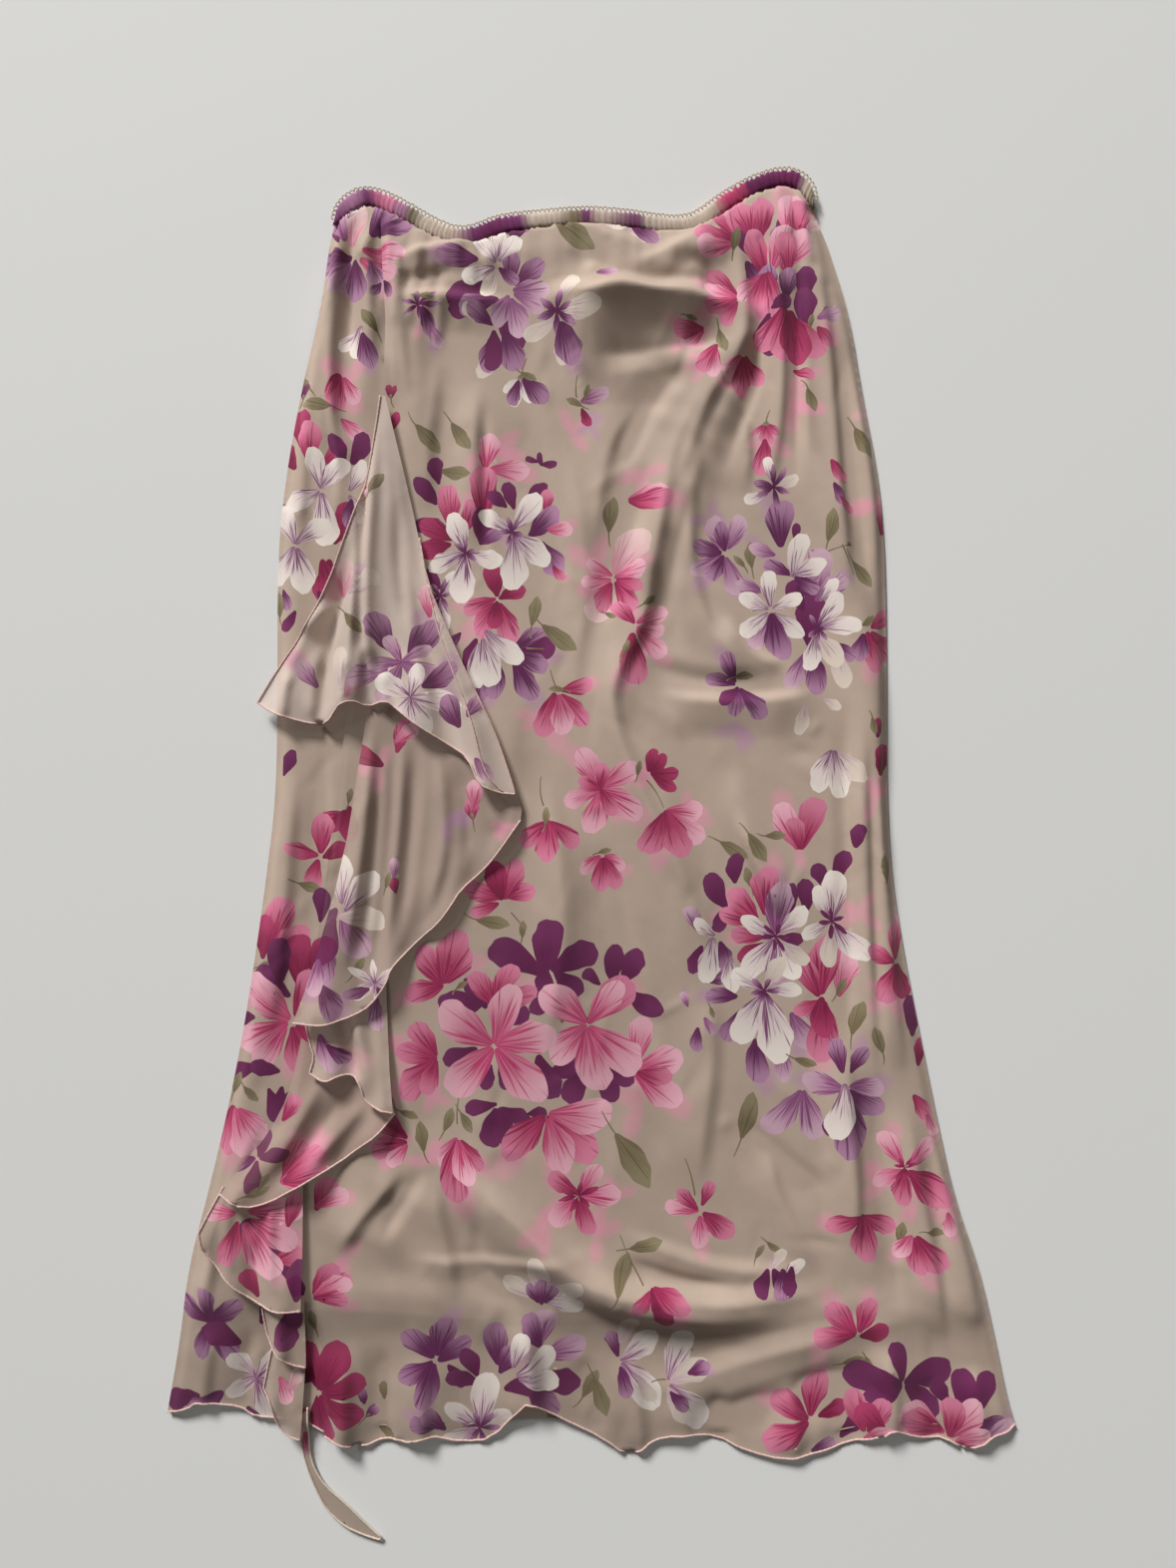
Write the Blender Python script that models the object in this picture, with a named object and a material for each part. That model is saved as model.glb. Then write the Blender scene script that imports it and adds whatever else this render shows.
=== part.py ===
# A ruffle midi skirt in floral chiffon, laid flat with its back panel underneath.
# Metres, +Z up. The waist points to +Y and the skirt rests on z = 0.

import bpy
import bmesh
import numpy as np

CHIFFON_WALL = 0.0015  # one layer of the printed chiffon, as it lies
LINING_WALL = 0.0010
CASING_DEPTH = 0.0032  # the flattened elastic casing, one side of it
CASING_LEDGE = 0.003  # how far the back casing's seam allowance holds up the front
RIB_HEIGHT = 0.0006  # ruching ribs on the front of the casing
PICOT_WIDTH = 0.0024
PICOT_DEPTH = 0.0010
GAP = 0.0003  # between neighbouring pieces
CASING_CLEARANCE = 0.0005  # from the casing down to the cloth, more than GAP where it slopes
HALF_SEAM = 0.00018  # from the middle of the gore seam to each gore
PICOT_CLEARANCE = 0.0004
CELL = 0.001  # fineness of the height map that the layers are laid on
SLIVER_AREA = 1e-8  # a triangle smaller than this covers no cell
EDGE_MARGIN = 0.0007  # a triangle also minds the cells this far outside it
WIDEST_MARGIN = 0.3  # the most that this may be, as a share of the triangle
REACH_X = 0.29  # half the width of that map
REACH_Y = 0.45  # half its length
SEAM_AT = 0.107  # share of the waist that the side gore takes
LINING_INSET = 0.009  # lining edge inside the side seam
LINING_TOP_DROP = 0.009  # lining edge below the casing
CREASE_FADE = 0.22  # share of a crease that fades at each of its ends
CREASE_END = 0.25  # share of its height that a crease keeps at its ends
FLUTE_GROWTH = 0.8  # how evenly a flute rises from the seam to the free edge

SIDE_COLUMNS = 8
MAIN_COLUMNS = 32
LINING_COLUMNS = 10
LINING_ROWS = 10
BACK_ROWS = 20
CASING_STEPS = 3  # casing sections for each column of the gores

# Rows lie closer at the waist and at the hem: share of the length, share of the rows.
ROW_SPACING = ((0.0, 0.0), (0.20, 0.29), (0.86, 0.80), (1.0, 1.0))
GORE_ROWS = 40


def mm(*rows):
    return np.array(rows, dtype=float) * 0.001


# Waistline, left to right. Columns: top edge x, y and lower edge x, y of the casing.
WAIST = mm(
    (-159, 396, -160, 390),
    (-156, 406, -151, 398),
    (-147, 413, -143, 403.5),
    (-138, 415, -136, 405),
    (-125, 411, -128, 401.5),
    (-110, 403, -113, 394),
    (-97, 395, -101, 386.5),
    (-82, 389, -83, 379.5),
    (-70, 391, -67, 381.5),
    (-57, 397, -54.5, 387.5),
    (-30, 400, -29, 391),
    (0, 402.5, 0, 393),
    (30, 399.5, 29, 390.5),
    (52, 396, 52, 387.5),
    (66, 397.5, 69, 389),
    (84, 411.5, 89, 403),
    (104, 422.5, 107.5, 413.5),
    (122, 427.5, 122, 418),
    (134, 424, 130.5, 415),
    (140, 416, 136, 408),
    (141, 408, 141, 400),
)

# Six-sided section of the flattened casing. Columns: share of its width, share of its depth.
CASING_SECTION = ((0.0, 0.5), (0.2, 1.0), (0.8, 1.0), (1.0, 0.5), (0.8, 0.0), (0.2, 0.0))

# Side seams from the casing down to the hem. Columns: x, y.
LEFT_SEAM = mm(
    (-162.5, 380), (-168, 340), (-180, 290), (-190, 235), (-195, 185), (-195, 95),
    (-196, 35), (-202, -15), (-209, -65), (-217, -115), (-227, -165), (-239, -215),
    (-251, -260), (-256, -305), (-264, -350),
)
RIGHT_SEAM = mm(
    (150, 380), (163, 340), (171, 290), (182, 235), (186, 185), (187, 95), (187, 35),
    (190, -15), (198, -65), (208, -115), (218, -165), (229, -215), (245, -260),
    (255, -305), (262, -340), (267.5, -357.7),
)
# Seam between the side gore and the main gore, where the ruffle is sewn in. Columns: x, y.
GORE_SEAM = mm(
    (-126, 332), (-127, 281), (-140, 184), (-149, 97), (-161, 4), (-174, -89),
    (-186, -182), (-180, -275), (-164, -362),
)

# Hems, left to right, with the waves of the overlocked edge. Columns: x, y.
SIDE_HEM = mm(
    (-264, -350), (-250, -347), (-245, -342), (-236, -343.5), (-218, -346), (-210, -352),
    (-195, -353), (-178, -355), (-164, -362),
)
MAIN_HEM = mm(
    (-164, -362), (-157, -365), (-142, -372), (-127, -366), (-115, -367.5), (-101, -362.7),
    (-78, -370), (-60, -366), (-44, -347), (-37, -339), (-21, -351), (11, -367), (22, -376),
    (31, -375), (40, -367), (56, -362.6), (79, -365), (100, -374.5), (122, -379.5),
    (143, -375.7), (164, -369), (183, -364.6), (189, -358), (198, -363), (212, -366.7),
    (223, -366), (236, -373), (244, -370.8), (252, -363.4), (262, -361), (267.5, -357.7),
)
BACK_HEM = mm(
    (-264, -350), (-235, -338), (-200, -346), (-160, -353), (-120, -361), (-80, -360),
    (-40, -352), (0, -357), (40, -360), (90, -362), (140, -366), (190, -355), (230, -360),
    (267.5, -357.7),
)
LINING_HEM = mm(
    (-243, -280), (-130, -284), (-60, -290), (0, -289), (60, -288), (130, -290), (243, -285),
)

# Creases and gathers of the front.
# Columns: height, width on its left, width on its right, points that it runs through.
CREASES = (
    (0.0055, 0.013, 0.018, mm((-153, 392), (-161, 326), (-164, 283), (-158, 233), (-155, 193))),
    (0.0060, 0.009, 0.009, mm((-141, 396), (-134, 345), (-138, 308), (-140, 262))),
    (0.0050, 0.009, 0.009, mm((-124, 396), (-119, 345), (-122, 308), (-121, 285))),
    (0.0060, 0.010, 0.011, mm((-107, 386), (-104, 340), (-108, 290), (-104, 245))),
    (0.0050, 0.015, 0.012, mm((-96, 346), (-80, 356), (-62, 374))),
    (0.0065, 0.013, 0.018, mm((-19, 352), (10, 357), (38, 362), (66, 376), (88, 396))),
    (0.0055, 0.014, 0.014, mm((30, 316), (66, 313), (92, 318), (106, 336))),
    (0.0070, 0.012, 0.018, mm((127, 408), (129, 345), (129, 264), (140, 238), (155, 200),
                              (168, 150), (171, 97), (175, 60), (171, 16))),
    (0.0060, 0.010, 0.010, mm((108, 404), (110, 352), (103, 316))),
    (0.0045, 0.012, 0.011, mm((160, 330), (170, 260), (178, 180), (180, 80), (180, 0))),
    (0.0070, 0.016, 0.020, mm((98, 312), (88, 289), (74, 258), (62, 227), (40, 184), (34, 146))),
    (0.0040, 0.014, 0.016, mm((76, 306), (60, 286), (36, 270))),
    (0.0040, 0.013, 0.015, mm((-69, 283), (-70, 233), (-68, 190))),
    (0.0040, 0.015, 0.017, mm((-74, 150), (-56, 97), (-40, 50))),
    (0.0050, 0.014, 0.016, mm((34, 140), (14, 103), (22, 72), (43, 35), (62, -15), (70, -70))),
    (0.0050, 0.015, 0.013, mm((34, 101), (68, 93), (105, 95), (134, 98))),
    (0.0035, 0.012, 0.012, mm((81, 148), (86, 130), (94, 112))),
    (0.0050, 0.012, 0.015, mm((88, 38), (106, 4), (126, -32))),
    (0.0060, 0.013, 0.015, mm((172, 50), (176, -27), (182, -89), (188, -155))),
    (0.0050, 0.013, 0.015, mm((157, -110), (161, -170), (168, -213), (171, -255))),
    (0.0045, 0.016, 0.018, mm((-20, 20), (-10, -40), (-14, -110))),
    (0.0065, 0.018, 0.020, mm((-105, -190), (-81, -201), (-43, -232), (-12, -260), (35, -281),
                              (93, -292), (134, -296))),
    (0.0045, 0.015, 0.015, mm((-98, -198), (-118, -228), (-146, -246))),
    (0.0040, 0.014, 0.014, mm((50, -246), (93, -262), (130, -266))),
    (0.0045, 0.014, 0.014, mm((197, -150), (208, -238), (218, -300))),
    (0.0045, 0.013, 0.013, mm((222, -190), (231, -250), (243, -310))),
    (0.0045, 0.013, 0.013, mm((-232, -220), (-240, -275), (-243, -335))),
    (0.0040, 0.013, 0.013, mm((-214, -235), (-222, -290), (-224, -340))),
    (0.0060, 0.011, 0.013, mm((-152, -318), (-150, -345), (-150, -380))),
    (0.0050, 0.014, 0.014, mm((-104, -318), (-106, -345), (-104, -380))),
    (0.0060, 0.015, 0.014, mm((-38, -290), (-38, -320), (-37, -360))),
    (0.0045, 0.016, 0.016, mm((56, -322), (57, -345), (57, -380))),
    (0.0055, 0.013, 0.013, mm((186, -305), (190, -335), (191, -380))),
    (0.0045, 0.013, 0.013, mm((250, -330), (255, -345), (257, -380))),
)

# The waterfall ruffle: one strip sewn into the gore seam that turns back on itself, so each
# fall is its own cloth from one turn of the strip to the next. The falls are listed from the
# hem up, as they lie on each other. Columns of an edge: x, y. Columns of the flutes: place
# along the hem from 0 to 1, height, share of the hem on the left of the crest, on the right.
FALLS = (
    {"name": "ruffle_fall_7", "columns": 6, "rows": 5,
     "top": mm((-197, -308), (-186, -314), (-176, -314)),
     "left": mm((-197, -308), (-200, -322), (-202, -332)),
     "right": mm((-176, -314), (-177, -337), (-179, -364)),
     "hem": mm((-202, -332), (-197, -340), (-193, -355), (-187, -362), (-179, -364)),
     "flutes": ((0.35, 0.004, 0.30, 0.30),)},
    {"name": "ruffle_fall_6", "columns": 6, "rows": 5,
     "top": mm((-203, -273), (-189, -275), (-176, -273)),
     "left": mm((-203, -273), (-201, -288), (-199, -297)),
     "right": mm((-176, -273), (-175, -318)),
     "hem": mm((-199, -297), (-193, -308), (-184, -316), (-175, -318)),
     "flutes": ((0.45, 0.004, 0.35, 0.35),)},
    {"name": "ruffle_fall_5", "columns": 10, "rows": 8,
     "top": mm((-226, -206), (-211, -205), (-192, -202), (-177, -199)),
     "left": mm((-226, -206), (-234, -221), (-240, -233)),
     "right": mm((-177, -199), (-177, -244), (-177, -281)),
     "hem": mm((-240, -233), (-238, -243), (-233, -250), (-221, -264), (-207, -275),
               (-194, -280), (-177, -281)),
     "flutes": ((0.08, 0.005, 0.20, 0.20), (0.45, 0.005, 0.20, 0.18), (0.85, 0.005, 0.18, 0.2))},
    {"name": "ruffle_fall_4", "columns": 13, "rows": 9,
     "top": mm((-178, -114), (-161, -126), (-139, -136), (-123, -149)),
     "left": mm((-178, -114), (-185, -148), (-198, -173), (-211, -188), (-226, -208)),
     "right": mm((-123, -149), (-120, -161)),
     "hem": mm((-226, -208), (-212, -217), (-197, -215), (-179, -204), (-155, -192),
               (-142, -182), (-131, -174), (-120, -161)),
     "flutes": ((0.07, 0.006, 0.12, 0.14), (0.42, 0.006, 0.17, 0.17), (0.86, 0.006, 0.16, 0.16))},
    {"name": "ruffle_fall_3", "columns": 11, "rows": 7,
     "top": mm((-178, -92), (-161, -92), (-144, -87), (-126, -75)),
     "left": mm((-178, -92), (-172, -117), (-169, -125), (-172, -135)),
     "right": mm((-126, -75), (-124, -125), (-120, -159)),
     "hem": mm((-172, -135), (-162, -140), (-154, -136), (-145, -136), (-140, -142),
               (-138, -151), (-130, -156), (-120, -159)),
     "flutes": ((0.22, 0.006, 0.18, 0.16), (0.60, 0.005, 0.16, 0.18), (0.92, 0.005, 0.16, 0.1))},
    {"name": "ruffle_fall_2", "columns": 16, "rows": 12,
     "top": mm((-135, 103), (-118, 97), (-93, 79), (-69, 64), (-48, 44)),
     "left": mm((-135, 103), (-144, 42), (-151, 0), (-172, -78), (-181, -103)),
     "right": mm((-48, 44), (-41, 30), (-42, 21)),
     "hem": mm((-181, -103), (-160, -104), (-144, -99), (-134, -93), (-124, -79), (-122, -71),
               (-115, -63), (-105, -53), (-93, -43), (-85, -32), (-79, -22), (-65, -10),
               (-55, 2), (-42, 21)),
     "flutes": ((0.05, 0.007, 0.10, 0.13), (0.34, 0.007, 0.14, 0.12), (0.63, 0.006, 0.13, 0.14),
                (0.93, 0.006, 0.13, 0.10))},
    {"name": "ruffle_fall_1", "columns": 20, "rows": 14,
     "top": mm((-128.5, 283), (-125.5, 283)),
     "left": mm((-128.5, 283), (-152, 208), (-174, 159), (-198, 103), (-206, 94)),
     "right": mm((-125.5, 283), (-112, 227), (-99, 166), (-81, 124), (-69, 99), (-58, 76),
                 (-50, 53), (-45, 37)),
     "hem": mm((-206, 94), (-196, 88), (-185, 84), (-173, 81), (-162, 80), (-154, 91),
               (-145, 95), (-137, 91), (-125, 95), (-117, 89), (-105, 79), (-87, 68),
               (-74, 60), (-67, 43), (-56, 38), (-45, 37)),
     "flutes": ((0.10, 0.005, 0.12, 0.12), (0.32, 0.009, 0.13, 0.09), (0.58, 0.009, 0.11, 0.14),
                (0.88, 0.008, 0.12, 0.11))},
)
FALL_SPAN = 0.012  # how far the ruffle bridges the hollows under it
SETTLE_ROUNDS = 80  # small lifts that settle a cloth before one last full lift

# The free end of the ruffle below the hem. Columns: x, y.
TAIL_LEFT = mm(
    (-184, -345), (-181, -367), (-177, -384), (-171, -399), (-164, -412), (-153, -422),
    (-142, -427), (-131, -430.5),
)
TAIL_RIGHT = mm(
    (-175, -345), (-175, -362), (-175, -375), (-172, -386), (-165, -397), (-152, -408),
    (-141, -419), (-130, -429),
)
TAIL_ROWS = 22
TAIL_COLUMNS = 3

map_size = (round(2 * REACH_X / CELL), round(2 * REACH_Y / CELL))
pile = np.full(map_size, -GAP)  # height of the cloth already laid, so the first piece rests on 0


# Paths and plans

def rounded(path, passes=2):
    # cut each corner of a path a quarter of the way in, which rounds it
    for _ in range(passes):
        before = path[:-1] * 0.75 + path[1:] * 0.25
        after = path[:-1] * 0.25 + path[1:] * 0.75
        inside = np.stack([before, after], axis=1).reshape(-1, path.shape[1])
        path = np.vstack([path[:1], inside, path[-1:]])
    return path


def run_length(path):
    steps = np.linalg.norm(np.diff(path, axis=0), axis=1)
    return np.concatenate([[0.0], np.cumsum(steps)])


def resample(path, shares, measured=None):
    # points of a path at the given shares of its length, or of the length measured on another
    run = run_length(path if measured is None else measured)
    goal = np.asarray(shares) * run[-1]
    return np.column_stack([np.interp(goal, run, path[:, k]) for k in range(path.shape[1])])


def even(count):
    return np.linspace(0.0, 1.0, count + 1)


def gore_rows(count):
    length_share, row_share = np.array(ROW_SPACING).T
    return np.interp(even(count), row_share, length_share)


def plan_between(top, hem, left, right, columns, rows):
    # plan of a cloth between its four edges, a grid of rows from top to hem
    s = columns[None, :, None]
    t = rows[:, None, None]
    top = resample(top, columns)[None]
    hem = resample(hem, columns)[None]
    left = resample(left, rows)[:, None]
    right = resample(right, rows)[:, None]
    corners = (1 - s) * ((1 - t) * left[:1] + t * left[-1:])
    corners = corners + s * ((1 - t) * right[:1] + t * right[-1:])
    return (1 - t) * top + t * hem + (1 - s) * left + s * right - corners


def down_to(path, level):
    # the part of a falling path that lies above a level
    y = np.append(path[path[:, 1] > level, 1], level)
    return np.column_stack([np.interp(-y, -path[:, 1], path[:, 0]), y])


# Laying cloth on the pile

def spread(heights, reach):
    # highest value within a reach of so many cells
    for axis in (0, 1):
        result = heights.copy()
        for shift in range(1, reach + 1):
            result = np.maximum(result, np.roll(heights, shift, axis))
            result = np.maximum(result, np.roll(heights, -shift, axis))
        heights = result
    return heights


def blurred(heights, reach):
    for axis in (0, 1):
        total = heights.copy()
        for shift in range(1, reach + 1):
            total = total + np.roll(heights, shift, axis) + np.roll(heights, -shift, axis)
        heights = total / (2 * reach + 1)
    return heights


def cell_of(points):
    return np.floor((points + (REACH_X, REACH_Y)) / CELL).astype(int)


def cells_under(plan, corners):
    # map cells under each triangle, the triangle's number, and the weights of its corners
    cells, owners, weights = [], [], []
    for number, triangle in enumerate(corners):
        a, b, c = plan[triangle]
        low = cell_of(np.minimum(np.minimum(a, b), c) - CELL)
        high = cell_of(np.maximum(np.maximum(a, b), c) + CELL)
        i, j = np.meshgrid(np.arange(low[0], high[0] + 1), np.arange(low[1], high[1] + 1))
        x = (i.ravel() + 0.5) * CELL - REACH_X
        y = (j.ravel() + 0.5) * CELL - REACH_Y
        area = (b[0] - a[0]) * (c[1] - a[1]) - (b[1] - a[1]) * (c[0] - a[0])
        if abs(area) < SLIVER_AREA:
            continue
        wb = ((x - a[0]) * (c[1] - a[1]) - (y - a[1]) * (c[0] - a[0])) / area
        wc = ((b[0] - a[0]) * (y - a[1]) - (b[1] - a[1]) * (x - a[0])) / area
        weight = np.column_stack([1 - wb - wc, wb, wc])
        longest = max(np.linalg.norm(b - a), np.linalg.norm(c - a), np.linalg.norm(c - b))
        margin = min(EDGE_MARGIN * longest / abs(area), WIDEST_MARGIN)
        inside = (weight > -margin).all(axis=1)
        cells.append(i.ravel()[inside] * map_size[1] + j.ravel()[inside])
        owners.append(np.full(inside.sum(), number))
        weights.append(weight[inside])
    return np.concatenate(cells), np.concatenate(owners), np.concatenate(weights)


def settled(under, plan, corners, cover):
    # lift the cloth just enough to clear all that it lies on
    cell, owner, weight = cover
    needed = spread(pile, 1).ravel()[cell] + GAP
    points = corners[owner]
    share = weight / (weight ** 2).sum(axis=1, keepdims=True)
    for _ in range(SETTLE_ROUNDS):
        short = needed - (under[points] * weight).sum(axis=1)
        late = short > 0
        if not late.any():
            return under
        push = np.zeros_like(under)
        np.maximum.at(push, points[late], short[late, None] * np.clip(share[late], 0, 1))
        under = under + push
    push = np.zeros_like(under)
    short = np.maximum(needed - (under[points] * weight).sum(axis=1), 0)
    np.maximum.at(push, points, np.repeat(short[:, None], 3, axis=1))
    return under + push


def raise_pile(top, corners, cover):
    cell, owner, weight = cover
    height = (top[corners[owner]] * weight).sum(axis=1)
    flat = pile.ravel()
    np.maximum.at(flat, cell, height)
    pile[:] = flat.reshape(map_size)


def lattice(rows, columns):
    # triangles of a grid of rows and columns, facing up
    start = np.arange((rows + 1) * (columns + 1)).reshape(rows + 1, columns + 1)
    a, b = start[:-1, :-1].ravel(), start[1:, :-1].ravel()
    c, d = start[1:, 1:].ravel(), start[:-1, 1:].ravel()
    return np.vstack([np.column_stack([a, b, c]), np.column_stack([a, c, d])])


def crease_lift(points):
    # height that the creases add at each point of a plan
    lift = np.zeros(len(points))
    for height, left_width, right_width, path in CREASES:
        path = rounded(path, 1)
        run = run_length(path)
        nearest = np.full(len(points), np.inf)
        side = np.zeros(len(points))
        place = np.zeros(len(points))
        for k in range(len(path) - 1):
            along = path[k + 1] - path[k]
            offset = points - path[k]
            t = np.clip(offset @ along / (along @ along), 0, 1)
            away = offset - t[:, None] * along
            distance = np.linalg.norm(away, axis=1)
            closer = distance < nearest
            nearest = np.where(closer, distance, nearest)
            side = np.where(closer, along[0] * offset[:, 1] - along[1] * offset[:, 0], side)
            place = np.where(closer, (run[k] + t * (run[k + 1] - run[k])) / run[-1], place)
        width = np.where(side > 0, left_width, right_width)
        across = np.clip(1 - (nearest / width) ** 2, 0, 1) ** 2
        fade = np.clip(np.minimum(place, 1 - place) / CREASE_FADE, 0, 1)
        ends = CREASE_END + (1 - CREASE_END) * fade * fade * (3 - 2 * fade)
        lift += height * across * ends
    return lift


def flute_lift(flutes, columns, rows):
    # height that a ruffle's flutes add, growing from the seam to the free edge
    s = columns[None, :]
    t = rows[:, None]
    lift = np.zeros((len(rows), len(columns)))
    for place, height, left_share, right_share in flutes:
        width = np.where(s < place, left_share, right_share)
        lift += height * np.clip(1 - ((s - place) / width) ** 2, 0, 1) ** 2 * t ** FLUTE_GROWTH
    return lift.ravel()


# Solids

def finish(name, colour, roughness):
    material = bpy.data.materials.new(name)
    material.use_nodes = True
    shader = material.node_tree.nodes["Principled BSDF"]
    shader.inputs["Base Color"].default_value = (*colour, 1.0)
    shader.inputs["Roughness"].default_value = roughness
    shader.inputs["Metallic"].default_value = 0.0
    return material


def add_object(name, mesh_data, material):
    mesh = bpy.data.meshes.new(name)
    bmesh.ops.recalc_face_normals(mesh_data, faces=mesh_data.faces[:])
    mesh_data.to_mesh(mesh)
    mesh_data.free()
    mesh.shade_smooth()
    mesh.materials.append(material)
    piece = bpy.data.objects.new(name, mesh)
    bpy.context.collection.objects.link(piece)
    return piece


def lay_cloth(name, plan, lift, wall, material, span=0.0):
    # a wall of cloth over a plan, laid on the pile with its folds, then added to the pile
    points = plan.reshape(-1, 2)
    corners = lattice(plan.shape[0] - 1, plan.shape[1] - 1)
    cover = cells_under(points, corners)
    reach = round(span / CELL)
    bed = blurred(spread(pile, reach), reach) if reach else pile
    i, j = cell_of(points).T
    under = settled(bed[i, j] + GAP + lift, points, corners, cover)
    shape = bmesh.new()
    base = [shape.verts.new((x, y, z)) for (x, y), z in zip(points, under)]
    for a, b, c in corners:
        shape.faces.new((base[a], base[b], base[c]))
    grown = bmesh.ops.extrude_face_region(shape, geom=shape.faces[:], use_keep_orig=True)
    upper = [item for item in grown["geom"] if isinstance(item, bmesh.types.BMVert)]
    bmesh.ops.translate(shape, verts=upper, vec=(0, 0, wall))
    raise_pile(under + wall, corners, cover)
    return add_object(name, shape, material)


def sweep(name, sections, material):
    # a closed solid through rings of points, with flat ends
    shape = bmesh.new()
    rings = [[shape.verts.new(point) for point in section] for section in sections]
    for near, far in zip(rings[:-1], rings[1:]):
        for k in range(len(near)):
            n = (k + 1) % len(near)
            shape.faces.new((near[k], near[n], far[n], far[k]))
    shape.faces.new(rings[0])
    shape.faces.new(rings[-1])
    bmesh.ops.triangulate(shape, faces=shape.faces[:])
    return add_object(name, shape, material)


# The pieces

def waist_sections(side_columns, main_columns):
    # the casing's edges at the columns of the gores, so both follow the same line
    edges = rounded(WAIST)
    shares = np.concatenate([
        np.linspace(0, SEAM_AT, side_columns + 1),
        np.linspace(SEAM_AT, 1, main_columns + 1)[1:],
    ])
    table = resample(edges, shares, measured=edges[:, 2:])
    return table[:, :2], table[:, 2:]


def below(path, distance):
    return path - (0.0, distance)


def from_waist(waist_point, seam):
    # a seam that starts at the gores' top edge
    return np.vstack([waist_point[None], rounded(seam)])


def make_back_panel(chiffon):
    inner = waist_sections(SIDE_COLUMNS // 2, MAIN_COLUMNS // 2)[1]
    top = below(inner, CASING_CLEARANCE)
    columns = run_length(top) / run_length(top)[-1]
    left = from_waist(top[0], LEFT_SEAM)
    right = from_waist(top[-1], RIGHT_SEAM)
    plan = plan_between(top, rounded(BACK_HEM), left, right, columns, gore_rows(BACK_ROWS))
    plan[0] = top
    lay_cloth("back_panel", plan, 0.0, CHIFFON_WALL, chiffon)


def make_lining(satin):
    inner = waist_sections(SIDE_COLUMNS, MAIN_COLUMNS)[1]
    top = below(resample(inner, even(LINING_COLUMNS)), LINING_TOP_DROP)
    top[0, 0] += LINING_INSET
    top[-1, 0] -= LINING_INSET
    left_level, right_level = LINING_HEM[0, 1], LINING_HEM[-1, 1]
    left = down_to(LEFT_SEAM[1:], left_level) + (LINING_INSET, 0)
    right = down_to(RIGHT_SEAM[1:], right_level) - (LINING_INSET, 0)
    left = np.vstack([top[:1], left])
    right = np.vstack([top[-1:], right])
    hem = np.vstack([left[-1:], LINING_HEM[1:-1], right[-1:]])
    plan = plan_between(top, hem, left, right, even(LINING_COLUMNS), even(LINING_ROWS))
    for name in ("lining_back", "lining_front"):
        lay_cloth(name, plan, 0.0, LINING_WALL, satin)


def make_gores(chiffon):
    inner = waist_sections(SIDE_COLUMNS, MAIN_COLUMNS)[1]
    top = below(inner, CASING_CLEARANCE)
    rows = gore_rows(GORE_ROWS)
    seam = from_waist(top[SIDE_COLUMNS], GORE_SEAM)
    half = np.array((HALF_SEAM, 0.0))
    gores = (
        ("front_side_gore", top[:SIDE_COLUMNS + 1] - half, rounded(SIDE_HEM, 1) - half,
         from_waist(top[0], LEFT_SEAM) - half, seam - half),
        ("front_main_gore", top[SIDE_COLUMNS:] + half, rounded(MAIN_HEM, 1) + half,
         seam + half, from_waist(top[-1], RIGHT_SEAM) + half),
    )
    for name, upper, hem, left, right in gores:
        columns = run_length(upper) / run_length(upper)[-1]
        plan = plan_between(upper, hem, left, right, columns, rows)
        plan[0] = upper
        lay_cloth(name, plan, crease_lift(plan.reshape(-1, 2)), CHIFFON_WALL, chiffon)


def casing_ring(inner, outer, bottom, depth):
    ring = []
    for across, up in CASING_SECTION:
        x, y = inner + (outer - inner) * across
        ring.append((x, y, bottom + depth * up))
    return ring


def make_casing_back(chiffon):
    # it also carries the top edge of the front
    outer, inner = waist_sections(SIDE_COLUMNS // 2, MAIN_COLUMNS // 2)
    depth = CASING_DEPTH - RIB_HEIGHT
    rings = [casing_ring(a, b, 0.0, depth) for a, b in zip(inner, outer)]
    sweep("casing_back", rings, chiffon)
    band = np.stack([outer, below(inner, CASING_LEDGE)])
    corners = lattice(1, len(inner) - 1)
    points = band.reshape(-1, 2)
    raise_pile(np.full(len(points), depth), corners, cells_under(points, corners))


def make_casing_front(chiffon):
    outer, inner = waist_sections(SIDE_COLUMNS, MAIN_COLUMNS)
    count = len(inner) - 1
    stations = np.linspace(0, count, count * CASING_STEPS + 1)
    bottom = CASING_DEPTH - RIB_HEIGHT + GAP
    rings = []
    for number, station in enumerate(stations):
        k = min(int(station), count - 1)
        f = station - k
        a = inner[k] + (inner[k + 1] - inner[k]) * f
        b = outer[k] + (outer[k + 1] - outer[k]) * f
        rings.append(casing_ring(a, b, bottom, CASING_DEPTH + RIB_HEIGHT * (number % 2)))
    sweep("casing_front", rings, chiffon)


def make_picot(thread):
    # the picot trim stands along the casing's top edge
    outer = waist_sections(SIDE_COLUMNS, MAIN_COLUMNS)[0]
    along = np.gradient(outer, axis=0)
    out = np.column_stack([-along[:, 1], along[:, 0]])
    out = out / np.linalg.norm(out, axis=1, keepdims=True)
    near = outer + out * PICOT_CLEARANCE
    far = near + out * PICOT_WIDTH
    low = CASING_DEPTH - RIB_HEIGHT + GAP + (CASING_DEPTH - PICOT_DEPTH) / 2
    rings = []
    for a, b in zip(near, far):
        ring = [(*a, low), (*a, low + PICOT_DEPTH), (*b, low + PICOT_DEPTH), (*b, low)]
        rings.append(ring)
    sweep("picot_trim", rings, thread)


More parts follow.
